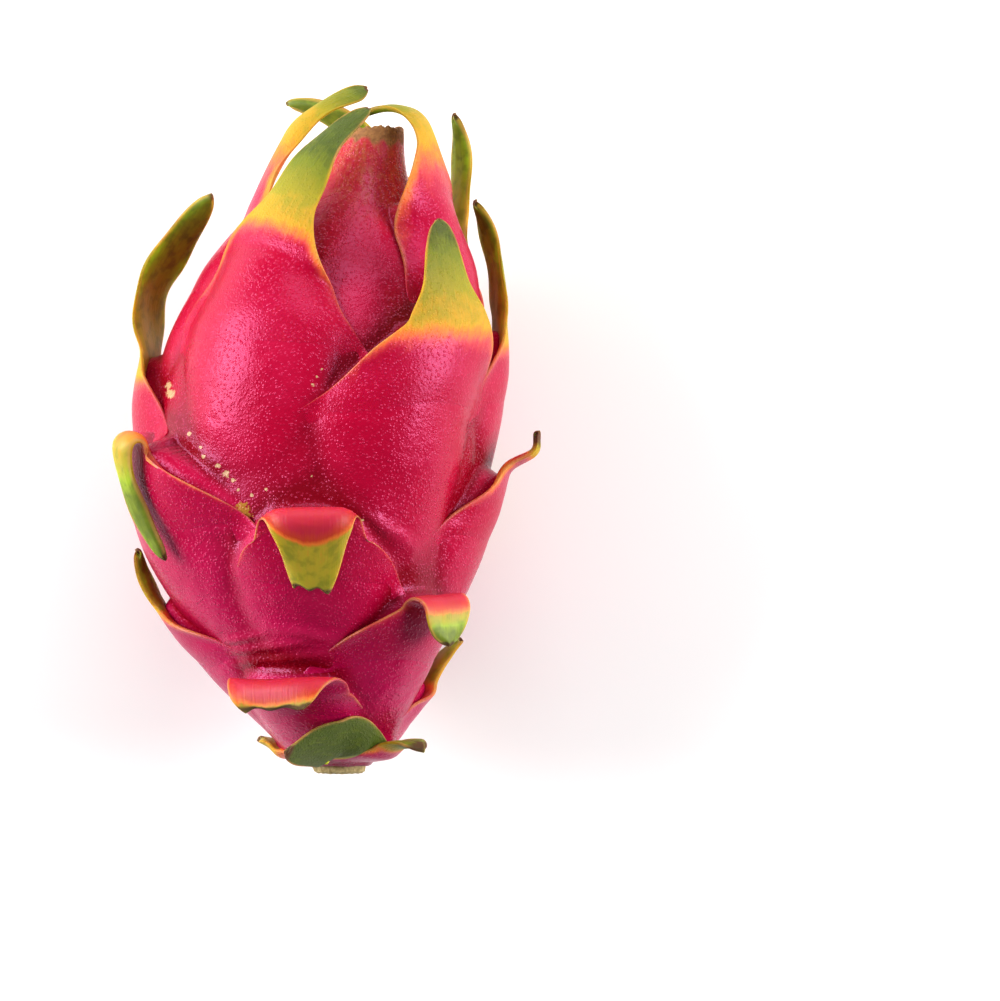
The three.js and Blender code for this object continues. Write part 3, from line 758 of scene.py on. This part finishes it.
def fibres_group():
    """Streaks along a scale's tongue, on its own pattern coordinates."""
    tree, given, result = group("Tongue fibres", {"Vector": (0, 0, 0)}, ("Streaks", "Mottle"))
    drawn_out = stretched(tree, given["Vector"], (1.0, 0.1, 1.0))
    streaks = noise(tree, drawn_out, 14.0, 4.0, 0.6)
    fill(tree, result, {"Streaks": streaks, "Mottle": noise(tree, given["Vector"], 3.2)})


def placed_group(tree, name, **inputs):
    return node(tree, "ShaderNodeGroup", inputs, node_tree=bpy.data.node_groups[name]).outputs


def new_material(name):
    """An empty material, with its shader joined to its output."""
    material = bpy.data.materials.new(name)
    material.use_nodes = True
    tree = material.node_tree
    tree.nodes.clear()
    shader = node(tree, "ShaderNodeBsdfPrincipled")
    node(tree, "ShaderNodeOutputMaterial", {"Surface": shader.outputs["BSDF"]})
    return material, tree, shader


def bump(tree, shader, height, strength, distance):
    made = node(tree, "ShaderNodeBump", {"Height": height, "Strength": strength, "Distance": distance})
    fill(tree, shader, {"Normal": made.outputs["Normal"]})


# Scars and flecks in the upper skin, as X, Y and radius in mm, and one olive bruise.
SCARS = [
    (-33.8, 15.4, 0.9), (-33.4, 13.6, 1.0), (-28.8, 4.8, 0.5), (-26.2, 1.9, 0.4), (-25.6, -0.1, 0.45),
    (-22.4, -2.2, 0.6), (-20.6, -3.9, 0.8), (-19.1, -5.4, 0.55), (-17.9, -7.4, 0.35), (-15.0, -8.5, 0.4),
    (-11.9, -7.4, 0.4), (-2.0, -4.5, 0.3), (-1.6, 15.2, 0.45), (-0.8, 16.9, 0.35), (0.2, 18.6, 0.3),
    (9.0, -14.0, 0.3),
]
BRUISE = (-17.2, -12.4, 2.2)
SCARS_ABOVE = (34 * MM, 38 * MM)
WAXY_TINT = (1.0, 0.42, 0.8)
GRAIN_STRENGTH = 0.9
GRAIN_DEPTH = 0.16 * MM
FLESH_DEPTH = 3 * MM


def ripe_skin(tree, colours, vector):
    """Ripe skin: crimson to magenta, painted shade in valleys, waxy patches, painted fold highlights, dots,
    scars.
    """
    broad = noise(tree, vector, 28.0, 3.0)
    away = node(tree, "ShaderNodeSeparateXYZ", {"Vector": vector}).outputs
    low_left = calc(tree, "MULTIPLY_ADD", away["X"], -0.35, calc(tree, "MULTIPLY", away["Y"], -1.0))
    towards_stem = between(tree, low_left, -0.005, 0.055)
    uneven = calc(tree, "MULTIPLY_ADD", broad, 0.8, calc(tree, "SUBTRACT", towards_stem, 0.4), clamp=True)
    colour = mix(tree, uneven, colours.crimson, colours.magenta)
    bloom_and_highlight = between(tree, noise(tree, vector, 60.0, 4.0, 0.6), 0.42, 0.75, 0.0, 0.22)
    # Painted highlight: the crests of the raised folds are lightened towards this colour.
    bloom_and_highlight = calc(tree, "MULTIPLY_ADD", attribute(tree, "pale"), 0.45, bloom_and_highlight)
    colour = mix(tree, bloom_and_highlight, colour, colours.bloom_and_highlight)
    # Painted shade: the valleys are painted a deeper red.
    colour = mix(tree, attribute(tree, "valley"), colour, colours.painted_shade_red)
    grain = placed_group(tree, "Skin grain", Vector=vector)
    colour = mix(tree, calc(tree, "MULTIPLY", grain["Dots"], 0.5), colour, colours.speckle)
    return colour, grain


def scarred(tree, colour, colours, vector):
    """The colour with its scars and its one bruise."""
    spots = [(*scar, 0.75, colours.pith) for scar in SCARS] + [(*BRUISE, 0.6, colours.olive)]
    for x, y, radius, share, own in spots:
        mask = placed_group(tree, "Scar", Vector=vector, Centre=(x * MM, y * MM, 0), Radius=radius * MM)
        colour = mix(tree, calc(tree, "MULTIPLY", mask["Mask"], share), colour, own)
    return colour


def withered(tree, vector, scale, uneven, full):
    """How withered it is: the piece's own mask, with an edge made uneven by noise."""
    roaming = calc(tree, "MULTIPLY_ADD", noise(tree, vector, scale), uneven, -uneven / 2)
    return between(tree, calc(tree, "ADD", attribute(tree, "dry"), roaming), 0.3, full)


def turned_share(tree, fibres, streaks, mottle, middle):
    """How far the colour has turned along a scale, made uneven by shares of its streaks and mottle."""
    turning = calc(tree, "MULTIPLY_ADD", fibres["Streaks"], streaks, attribute(tree, "ripe"))
    return calc(tree, "MULTIPLY_ADD", fibres["Mottle"], mottle, calc(tree, "SUBTRACT", turning, middle))


def tongue_fibres(tree):
    own = node(tree, "ShaderNodeUVMap").outputs["UV"]
    return placed_group(tree, "Tongue fibres", Vector=own)


def waxy(tree, shader, colour, roughness, relief):
    """The shader of fresh skin: a waxy sheen with a pinkish tint over fine grain."""
    fill(tree, shader, {"Base Color": colour, "Roughness": roughness, "Specular Tint": WAXY_TINT})
    bump(tree, shader, relief, GRAIN_STRENGTH, GRAIN_DEPTH)


def skin_relief(tree, vector, grain):
    """Height of the peel's grain and of its shallow wrinkles, where the skin is drawn together."""
    wrinkles = noise(tree, vector, 190.0, 3.0, 0.65)
    drawn = calc(tree, "MULTIPLY", attribute(tree, "wrinkle"), calc(tree, "MULTIPLY", wrinkles, 6.0))
    dents = calc(tree, "MULTIPLY", noise(tree, vector, 110.0, 2.0), 5.0)
    return calc(tree, "ADD", grain["Relief"], calc(tree, "ADD", drawn, dents))


def skin_material(colours):
    _, tree, shader = new_material("Dragon fruit skin")
    vector = object_place(tree)
    colour, grain = ripe_skin(tree, colours, vector)
    colour = scarred(tree, colour, colours, vector)
    streaks = between(tree, noise(tree, stretched(tree, vector, (1, 0.2, 1)), 900.0, 4.0, 0.7), 0.3, 0.75)
    uneven = calc(tree, "MULTIPLY_ADD", streaks, 1.6, 1.0)
    turning = calc(tree, "MULTIPLY", attribute(tree, "ripe"), uneven, clamp=True)
    turned = mix(tree, streaks, colours.salmon, colours.tan)
    colour = mix(tree, calc(tree, "MULTIPLY", turning, 0.75), colour, turned)
    dry = withered(tree, vector, 700.0, 0.6, 0.7)
    colour = mix(tree, dry, colour, mix(tree, noise(tree, vector, 900.0, 4.0), colours.tan, colours.brown))
    rough = calc(tree, "MULTIPLY_ADD", noise(tree, vector, 90.0), 0.16, 0.2)
    rough = calc(tree, "MULTIPLY_ADD", dry, 0.4, rough)
    waxy(tree, shader, colour, rough, skin_relief(tree, vector, grain))


def let_light_through(tree, shader, weight, reach):
    """A scale's thin flesh glows a little where light falls on its other side."""
    own = {"Subsurface Weight": weight, "Subsurface Scale": FLESH_DEPTH, "Subsurface Radius": reach}
    fill(tree, shader, own)


def scale_material(colours):
    """A scale's outer face and margins: ripe skin that turns to yellow and green along the tongue."""
    _, tree, shader = new_material("Scale")
    vector = object_place(tree)
    skin, grain = ripe_skin(tree, colours, vector)
    fibres = tongue_fibres(tree)
    turning = turned_share(tree, fibres, 0.18, 0.24, 0.21)
    tongue = ramp(tree, turning, [
        (0.0, colours.salmon), (0.18, colours.salmon), (0.32, colours.orange), (0.44, colours.yellow),
        (0.58, colours.yellow_green), (0.86, colours.green), (1.0, colours.dark_green),
    ])
    colour = mix(tree, between(tree, turning, 0.02, 0.3), skin, tongue)
    margin = mix(tree, between(tree, turning, 0.3, 0.6), colours.tan, colours.yellow)
    margin = mix(tree, between(tree, turning, 0.8, 1.0), margin, colours.tan)
    patchy = between(tree, noise(tree, vector, 130.0), 0.35, 0.65, 0.25, 0.8)
    colour = mix(tree, calc(tree, "MULTIPLY", attribute(tree, "edge"), patchy), colour, margin)
    dry = withered(tree, vector, 500.0, 0.8, 0.75)
    rough = calc(tree, "MULTIPLY_ADD", noise(tree, vector, 90.0), 0.16, 0.22)
    rough = calc(tree, "ADD", rough, between(tree, turning, 0.1, 0.45, 0.0, 0.3))
    rough = calc(tree, "MULTIPLY_ADD", dry, 0.2, rough)
    fibrous = between(tree, turning, 0.2, 0.6, 0.0, 1.4)
    relief = calc(tree, "MULTIPLY_ADD", fibres["Streaks"], fibrous, grain["Relief"])
    waxy(tree, shader, mix(tree, dry, colour, colours.brown), rough, relief)
    let_light_through(tree, shader, 0.3, (1.0, 0.6, 0.3))


def inner_material(colours):
    """A scale's inner face: dark red where it leaves the skin, then orange, olive and green."""
    _, tree, shader = new_material("Scale inside")
    fibres = tongue_fibres(tree)
    turning = turned_share(tree, fibres, 0.2, 0.25, 0.22)
    colour = ramp(tree, turning, [
        (0.0, colours.inner_red), (0.2, colours.inner_orange), (0.34, colours.orange), (0.48, colours.olive),
        (0.8, colours.inner_green), (1.0, colours.green),
    ])
    mottled = between(tree, fibres["Mottle"], 0.45, 0.65, 0.0, 0.35)
    mottled = calc(tree, "MULTIPLY", mottled, between(tree, turning, 0.35, 0.5))
    colour = mix(tree, mottled, colour, colours.dark_green)
    colour = mix(tree, calc(tree, "MULTIPLY", attribute(tree, "edge"), 0.6), colour, colours.tan)
    dry = withered(tree, object_place(tree), 500.0, 0.8, 0.75)
    rough = calc(tree, "MULTIPLY_ADD", dry, 0.3, 0.5)
    fill(tree, shader, {"Base Color": mix(tree, dry, colour, colours.brown), "Roughness": rough})
    bump(tree, shader, fibres["Streaks"], 0.5, 0.25 * MM)
    let_light_through(tree, shader, 0.9, (0.8, 1.0, 0.3))


def dry_material(name, pale, dark, scale):
    """Withered tissue, streaked from pale to dark and rough all over."""
    _, tree, shader = new_material(name)
    streaks = noise(tree, object_place(tree), scale, 5.0, 0.7)
    colour = mix(tree, between(tree, streaks, 0.3, 0.7), dark, pale)
    fill(tree, shader, {"Base Color": colour, "Roughness": calc(tree, "MULTIPLY_ADD", streaks, 0.2, 0.7)})
    bump(tree, shader, streaks, 0.8, 0.4 * MM)


def floor_material(colour):
    material, tree, shader = new_material("Pale floor")
    fill(tree, shader, {"Base Color": colour, "Roughness": 0.9, "Specular IOR Level": 0.1})
    return material


# The pieces.

def blurred(values, rows, columns):
    """The values on a grid that closes on itself across, spread out by a box of this size, twice."""
    for _ in range(2):
        values = sum(np.roll(values, k, axis=1) for k in range(-columns, columns + 1)) / (2 * columns + 1)
        padded = np.pad(values, ((rows, rows), (0, 0)), mode="edge")
        values = sum(padded[k:k + len(values)] for k in range(2 * rows + 1)) / (2 * rows + 1)
    return values


def rows_of(profile, turn):
    """Rows of points round the fruit from a profile of stations and radii in mm."""
    stations, radii = np.array(profile).T[..., None] * MM
    return place(stations, radii, turn)


def skin_shape(across, along):
    """The whole skin as one grid: the recess, the skin with its swellings, the neck's rim and the crater."""
    turn = 2 * np.pi * across[0]
    ends = (len(RECESS), len(CRATER))
    share = np.linspace(0, 1, len(along) - sum(ends))[:, None]
    height = skin_height(share, turn)
    # Painted shade: how far the skin lies below its blurred surroundings, less of it towards the neck.
    valley = np.clip((blurred(height[:, :-1], 10, 6) - height[:, :-1]) / FULL_SHADE_DEPTH, 0, 1)
    valley = np.concatenate([valley, valley[:, :1]], axis=1) * (1 - 0.8 * smooth_step(0.82, 0.92, share))
    lumps = LUMP_HEIGHT * np.sin(5 * turn + 24 * share) * np.sin(3 * turn - 41 * share + 1)
    folds, pucker = skin_folds(skin_point(share, turn, height))
    points = rested(skin_point(share, turn, height + lumps * (1 - share) + folds))
    recess, crater = (rows_of(profile, turn[None, :]) for profile in (RECESS, CRATER))
    torn = RIM_TEAR * (np.sin(9 * turn) * np.sin(5 * turn + 1) + 0.5 * np.sin(23 * turn + 2))
    crater[:5, :, 1] += torn * np.array([0.5, 0.9, 1, 0.7, 0.3])[:, None]
    points[-3:, :, 1] += torn * np.array([0.05, 0.15, 0.3])[:, None]
    whole = np.concatenate([recess, points, crater])
    stem_wrinkles = np.maximum(0.6 - 0.6 * smooth_step(0.03, 0.2, share), pucker)
    dry = smooth_step(0.965, 0.995, share + 0.008 * np.sin(7 * turn) * np.sin(4 * turn + 2))

    def with_ends(first, values, last):
        """Values over the skin, with one value all over the recess and one all over the crater."""
        filled = [np.full((rows, len(turn)), value) for rows, value in zip(ends, (first, last))]
        return np.concatenate([filled[0], values + 0 * turn, filled[1]])

    attributes = {
        # Painted shade in the valleys, and a little of it over the stem's recess.
        "valley": with_ends(0.2, valley, 0.0),
        "wrinkle": with_ends(1.0, stem_wrinkles, 0.0),
        "dry": with_ends(0.4, dry, 1.0),
        # Painted highlight on the folds' crests, stronger where a fold stands taller.
        "pale": with_ends(0.0, np.clip(folds / MM, 0, 1), 0.0),
        "ripe": with_ends(0.0, 0.3 * smooth_step(0.8, 0.98, share), 0.2),
    }
    return whole, attributes, (across * 0.22, along * 0.16)


# Folds drawn up in the upper skin, as X and Y of both ends, height and half width, and places where
# it is puckered, as X, Y and radius, all in mm.
FOLDS = [
    (1.1, -7.8, 19.4, -19.4, 0.9, 1.7), (-17.6, -26.0, -19.4, -16.0, 0.5, 1.4),
    (-32.0, 7.5, -22.0, -4.5, 0.8, 1.8), (-34.0, 26.0, -30.5, 40.0, 0.4, 2.0),
    (-22.0, -40.6, -12.5, -38.6, 0.7, 0.8), (-21.6, -43.0, -4.0, -40.4, 0.7, 0.8),
    (-20.6, -45.4, 2.0, -43.0, 0.6, 0.9), (-12.0, -37.0, 4.0, -40.0, 0.5, 1.2),
    (-24.5, 8.5, -23.0, 7.6, -0.2, 0.7), (-12.0, 23.0, -11.5, 21.6, -0.2, 0.6),
]
FOLDS_ABOVE = (36 * MM, 46 * MM)
PUCKERS = [(-18, -44, 7), (-6, -43, 7), (14, -58, 9), (-8, -12, 5), (12, -14, 5)]


def skin_folds(points):
    """Height of the folds at points of the skin, and how puckered it is."""
    height = np.zeros(points.shape[:-1])
    pucker = np.zeros(points.shape[:-1])
    upper = smooth_step(*FOLDS_ABOVE, points[..., 2])
    for *ends, rise, half in np.array(FOLDS) * MM:
        start, end = np.array(ends[:2]), np.array(ends[2:])
        run = end - start
        share = np.clip((points[..., :2] - start) @ run / (run @ run), 0, 1)
        away = np.linalg.norm(points[..., :2] - start - share[..., None] * run, axis=-1)
        height += rise * np.exp(-(away / half) ** 2) * (0.35 + 0.65 * np.sin(np.pi * share))
    for x, y, radius in np.array(PUCKERS) * MM:
        away = np.hypot(points[..., 0] - x, points[..., 1] - y)
        pucker = np.maximum(pucker, np.exp(-(away / radius) ** 2))
    return height * upper, pucker * upper


class DRAGONFRUIT_OT_skin(bpy.types.Operator):
    """Makes the skin with a swelling under each scale, the recess of the stem and the crater of the flower"""

    bl_idname = "dragon_fruit.skin"
    bl_label = "Skin"

    def execute(self, context):
        sizes = settings().sizes
        rows = sizes.skin_rows + len(RECESS) + len(CRATER)
        piece = merged(shaped_grid("skin", sizes.skin_columns, rows, skin_shape))
        finished(piece, "fruit", "fruit_skin", bpy.data.materials["Dragon fruit skin"])
        return {"FINISHED"}


def scale_shaper(shape, number):
    """The function that shapes a grid into this scale's outer face."""
    def shaped(across, along):
        spread = 2 * across - 1
        side = 0.2 * spread + 0.8 * np.sin(np.pi / 2 * spread)
        stations = blade_stations(shape, along)
        width = outline(shape, stations)
        run = np.clip(stations / shape.tongue, 0, 1)
        ripe = 0.5 * smooth_step(shape.blush, shape.yellow, stations)
        ripe = ripe + 0.5 * smooth_step(shape.yellow, shape.green, stations)
        to_margin = (1 - np.abs(side)) * width
        shoulders = smooth_step(-shape.drop, 0, stations) * (1 - smooth_step(0, 0.3 * shape.tongue, stations))
        ripe = np.maximum(ripe, shape.rim * shoulders * (1 - smooth_step(0.4 * MM, 3.4 * MM, to_margin)))
        standing = smooth_step(-shape.drop - ROOT_TOUCH, -0.6 * shape.drop, stations)
        attributes = {
            "ripe": ripe,
            "edge": (1 - smooth_step(0.1 * MM, 0.6 * MM, to_margin)) * standing,
            "dry": smooth_step(shape.tongue - 2 * shape.dry, shape.tongue, stations),
            "valley": 0.0,
            "pale": 0.0,
            "thickness": (1 - TIP_THINNING * run) * (1 - EDGE_THINNING * np.abs(side) ** 3),
        }
        return blade_face(shape, stations, side, number), attributes, (side * width, stations)
    return shaped


def weigh(piece, name):
    """Makes a vertex group from the attribute of the same name."""
    weights = np.empty(len(piece.data.vertices))
    piece.data.attributes[name].data.foreach_get("value", weights)
    made = piece.vertex_groups.new(name=name)
    for i, weight in enumerate(weights):
        made.add([i], float(weight), "REPLACE")


def raised(piece):
    """Keeps a blade above the floor it is pressed against, without folding its faces together."""
    for vertex in piece.data.vertices:
        z = vertex.co.z
        vertex.co.z = (z + math.hypot(z, PRESSED)) / 2


class DRAGONFRUIT_OT_scales(bpy.types.Operator):
    """Makes every scale: its part on the skin, its free tongue, its thickness and its rounded margins"""

    bl_idname = "dragon_fruit.scales"
    bl_label = "Scales"

    def execute(self, context):
        sizes = settings().sizes
        materials = bpy.data.materials["Scale"], bpy.data.materials["Scale inside"]
        for number, shape in enumerate(settings().scales):
            shaper = scale_shaper(shape, number)
            piece = shaped_grid("scale_" + shape.name, sizes.blade_columns, sizes.blade_rows, shaper)
            finished(piece, "fruit", "fruit_skin", *materials)
            weigh(piece, "thickness")
            applied(
                piece, "SOLIDIFY", "Flesh", thickness=sizes.blade_thickness, offset=-1,
                vertex_group="thickness", material_offset=1, material_offset_rim=0,
            )
            applied(piece, "SUBSURF", "Rounding", levels=1, render_levels=1)
            raised(piece)
            bpy.ops.object.shade_smooth()
        return {"FINISHED"}


# Profiles of the flower's plug and of the stem's stub, as shares along them, stations and radii in mm.
PLUG_PROFILE = [
    (0, 132.4, 0), (0.1, 132.4, 2.6), (0.5, 135, 3.1), (0.75, 137.6, 3.0), (0.88, 138.6, 2.4), (1, 137.9, 0),
]
STUB_PROFILE = [
    (0, -1.3, 0), (0.12, -1.35, 1.1), (0.2, -1.7, 1.6), (0.42, -1.75, 4.6), (0.5, -1.4, 5.4),
    (0.62, -0.4, 5.7), (0.8, 0.6, 5.7), (0.92, 2.6, 5.1), (1, 2.65, 0),
]
SHREDS = 17


def profile_at(along, profile):
    """Stations and radii of a profile at shares along it."""
    steps, stations, radii = np.array(profile).T
    return np.interp(along, steps, stations) * MM, np.interp(along, steps, radii) * MM


def plug_shape(across, along):
    """The crumpled plug of dry folds in the crater."""
    turn = 2 * np.pi * across
    stations, radii = profile_at(along, PLUG_PROFILE)
    folds = 0.16 * np.sin(7 * turn + 9 * along) + 0.08 * np.sin(15 * turn - 14 * along)
    lift = 0.4 * MM * np.sin(5 * turn + 2) * along**3 * (along < 0.99)
    points = place(stations + lift, radii * (1 + folds * smooth_step(0.1, 0.6, along)), turn)
    return points, {}, (across * 0.02, along * 0.01)


def shred_shaper(number):
    """The function that shapes a grid into one dry shred of the flower, standing in the crater."""
    def shaped(across, along):
        turn = GOLDEN_TURN * number
        length = (5.5 + 2.4 * math.sin(2.3 * number)) * MM
        radius = (3.5 - 1.1 * (number % 3) / 2) * MM
        half = (0.9 - 0.5 * along) * (1 + 0.3 * math.sin(number)) * MM
        bend = 0.9 * MM * math.sin(1.7 * number) * along**2
        own_turn = turn + (2 * across - 1) * half / radius + 0.25 * along * math.cos(number)
        crumple = 0.25 * MM * np.sin(6 * along + 3 * across + number)
        points = place(133 * MM + length * along, radius - 1.2 * MM * along**2 + crumple + bend, own_turn)
        return points, {}, (across * 0.002, along * 0.007)
    return shaped


class DRAGONFRUIT_OT_flower_remnant(bpy.types.Operator):
    """Makes the withered remains of the flower in the crater of the neck"""

    bl_idname = "dragon_fruit.flower_remnant"
    bl_label = "Flower remnant"

    def execute(self, context):
        plug = merged(shaped_grid("flower_remnant_dry", 84, 36, plug_shape))
        shreds = []
        for number in range(SHREDS):
            shred = shaped_grid(f"shred_{number}", 4, 14, shred_shaper(number))
            applied(shred, "SOLIDIFY", "Thickness", thickness=0.22 * MM, offset=0)
            bpy.ops.object.shade_smooth()
            shreds.append(shred)
        select_only(plug, *shreds)
        bpy.ops.object.join()
        finished(plug, "flower_remnant", "dry_flower", bpy.data.materials["Dry flower"])
        return {"FINISHED"}


def stub_shape(across, along):
    """The three-sided woody stub, with its cut face and sunken pith outwards."""
    turn = 2 * np.pi * across
    stations, radii = profile_at(along, STUB_PROFILE)
    lobes = 0.08 * np.cos(3 * turn) * (1 - smooth_step(0.62, 0.8, along))
    rough = 0.012 * np.sin(17 * turn + 3) + 0.01 * np.sin(29 * turn)
    grain = 0.12 * MM * np.sin(11 * turn) * np.sin(40 * along) * smooth_step(0, 0.2, along)
    points = place(stations + grain * (along < 0.5), radii * (1 + lobes + rough), turn)
    return points, {}, (across * 0.03, along * 0.01)


class DRAGONFRUIT_OT_stem_stub(bpy.types.Operator):
    """Makes the cut stub of the stem in its recess"""

    bl_idname = "dragon_fruit.stem_stub"
    bl_label = "Stem stub"

    def execute(self, context):
        piece = merged(shaped_grid("stem_stub_cut", 108, 48, stub_shape))
        finished(piece, "stem_stub", "woody_stem", bpy.data.materials["Cut stem"])
        return {"FINISHED"}


class DRAGONFRUIT_OT_materials(bpy.types.Operator):
    """Makes the shared effects and every material of the fruit"""

    bl_idname = "dragon_fruit.materials"
    bl_label = "Materials"

    def execute(self, context):
        colours = settings().colours
        skin_grain_group()
        scar_group()
        fibres_group()
        skin_material(colours)
        scale_material(colours)
        inner_material(colours)
        dry_material("Dry flower", colours.straw, colours.brown, 900.0)
        dry_material("Cut stem", colours.pith, colours.bark, 500.0)
        return {"FINISHED"}


FLOOR_SIZE = 14


def softbox(name, place_at, size, power, aim):
    """A square area light at a place, turned towards the aim."""
    bpy.ops.object.light_add(type="AREA", location=place_at)
    light = bpy.context.object
    light.name = light.data.name = name
    light.data.size = size
    light.data.energy = power
    light.rotation_euler = (Vector(aim) - Vector(place_at)).to_track_quat("-Z", "Y").to_euler()


class DRAGONFRUIT_OT_studio(bpy.types.Operator):
    """Makes the pale floor, the soft lights and the camera over the fruit"""

    bl_idname = "dragon_fruit.studio"
    bl_label = "Studio"

    def execute(self, context):
        studio = settings().studio
        middle = settings().sizes.axis_height
        select_only()
        bpy.ops.mesh.primitive_plane_add(size=FLOOR_SIZE)
        floor = bpy.context.object
        floor.name = "floor"
        floor.data.materials.append(floor_material(studio.floor))
        softbox("left_softbox", (-0.74, 0.2, 0.35), 0.62, studio.key_power, (0, 0, middle))
        softbox("far_softbox", (0.12, 0.8, 0.42), 0.5, studio.far_power, (0, 0, middle))
        softbox("right_softbox", (0.74, 0.08, 0.37), 0.5, studio.fill_power, (0, 0, middle))
        world = bpy.data.worlds.new("White surround")
        world.use_nodes = True
        background = world.node_tree.nodes["Background"]
        fill(world.node_tree, background, {"Color": (1, 1, 1), "Strength": studio.surround})
        context.scene.world = world
        bpy.ops.object.camera_add(location=(studio.view_x, studio.view_y, middle + studio.distance))
        camera = bpy.context.object
        camera.name = "camera"
        camera.rotation_euler = (0, 0, 0)
        camera.data.sensor_width = 36
        camera.data.lens = camera.data.sensor_width * studio.distance / studio.view_width
        camera.data.clip_start = 0.01
        context.scene.camera = camera
        context.scene.view_settings.view_transform = "Standard"
        context.scene.view_settings.gamma = 0.87
        context.scene.view_settings.exposure = 0.1
        return {"FINISHED"}


OPERATORS = (
    DRAGONFRUIT_OT_materials,
    DRAGONFRUIT_OT_studio,
    DRAGONFRUIT_OT_skin,
    DRAGONFRUIT_OT_scales,
    DRAGONFRUIT_OT_flower_remnant,
    DRAGONFRUIT_OT_stem_stub,
)


class DRAGONFRUIT_PT_sidebar(bpy.types.Panel):
    """Lists the fruit's settings and the steps that make it."""

    bl_label = "Dragon fruit"
    bl_idname = "DRAGONFRUIT_PT_sidebar"
    bl_space_type = "VIEW_3D"
    bl_region_type = "UI"
    bl_category = "Dragon fruit"

    def draw(self, context):
        fruit = context.scene.dragon_fruit
        for part in (fruit.sizes, fruit.colours, fruit.studio):
            box = self.layout.box()
            for name in part.__annotations__:
                box.prop(part, name)
        for operator in OPERATORS:
            self.layout.operator(operator.bl_idname)


CLASSES = (
    FruitSizes, FruitColours, ScaleShape, StudioSettings, FruitSettings, *OPERATORS, DRAGONFRUIT_PT_sidebar,
)


def register():
    for one in CLASSES:
        bpy.utils.register_class(one)
    bpy.types.Scene.dragon_fruit = PointerProperty(type=FruitSettings)


def unregister():
    del bpy.types.Scene.dragon_fruit
    for one in reversed(CLASSES):
        bpy.utils.unregister_class(one)


def main():
    register()
    fill_scales()
    bpy.ops.dragon_fruit.materials()
    bpy.ops.dragon_fruit.studio()
    bpy.ops.dragon_fruit.skin()
    bpy.ops.dragon_fruit.scales()
    bpy.ops.dragon_fruit.flower_remnant()
    bpy.ops.dragon_fruit.stem_stub()


if __name__ == "__main__":
    main()
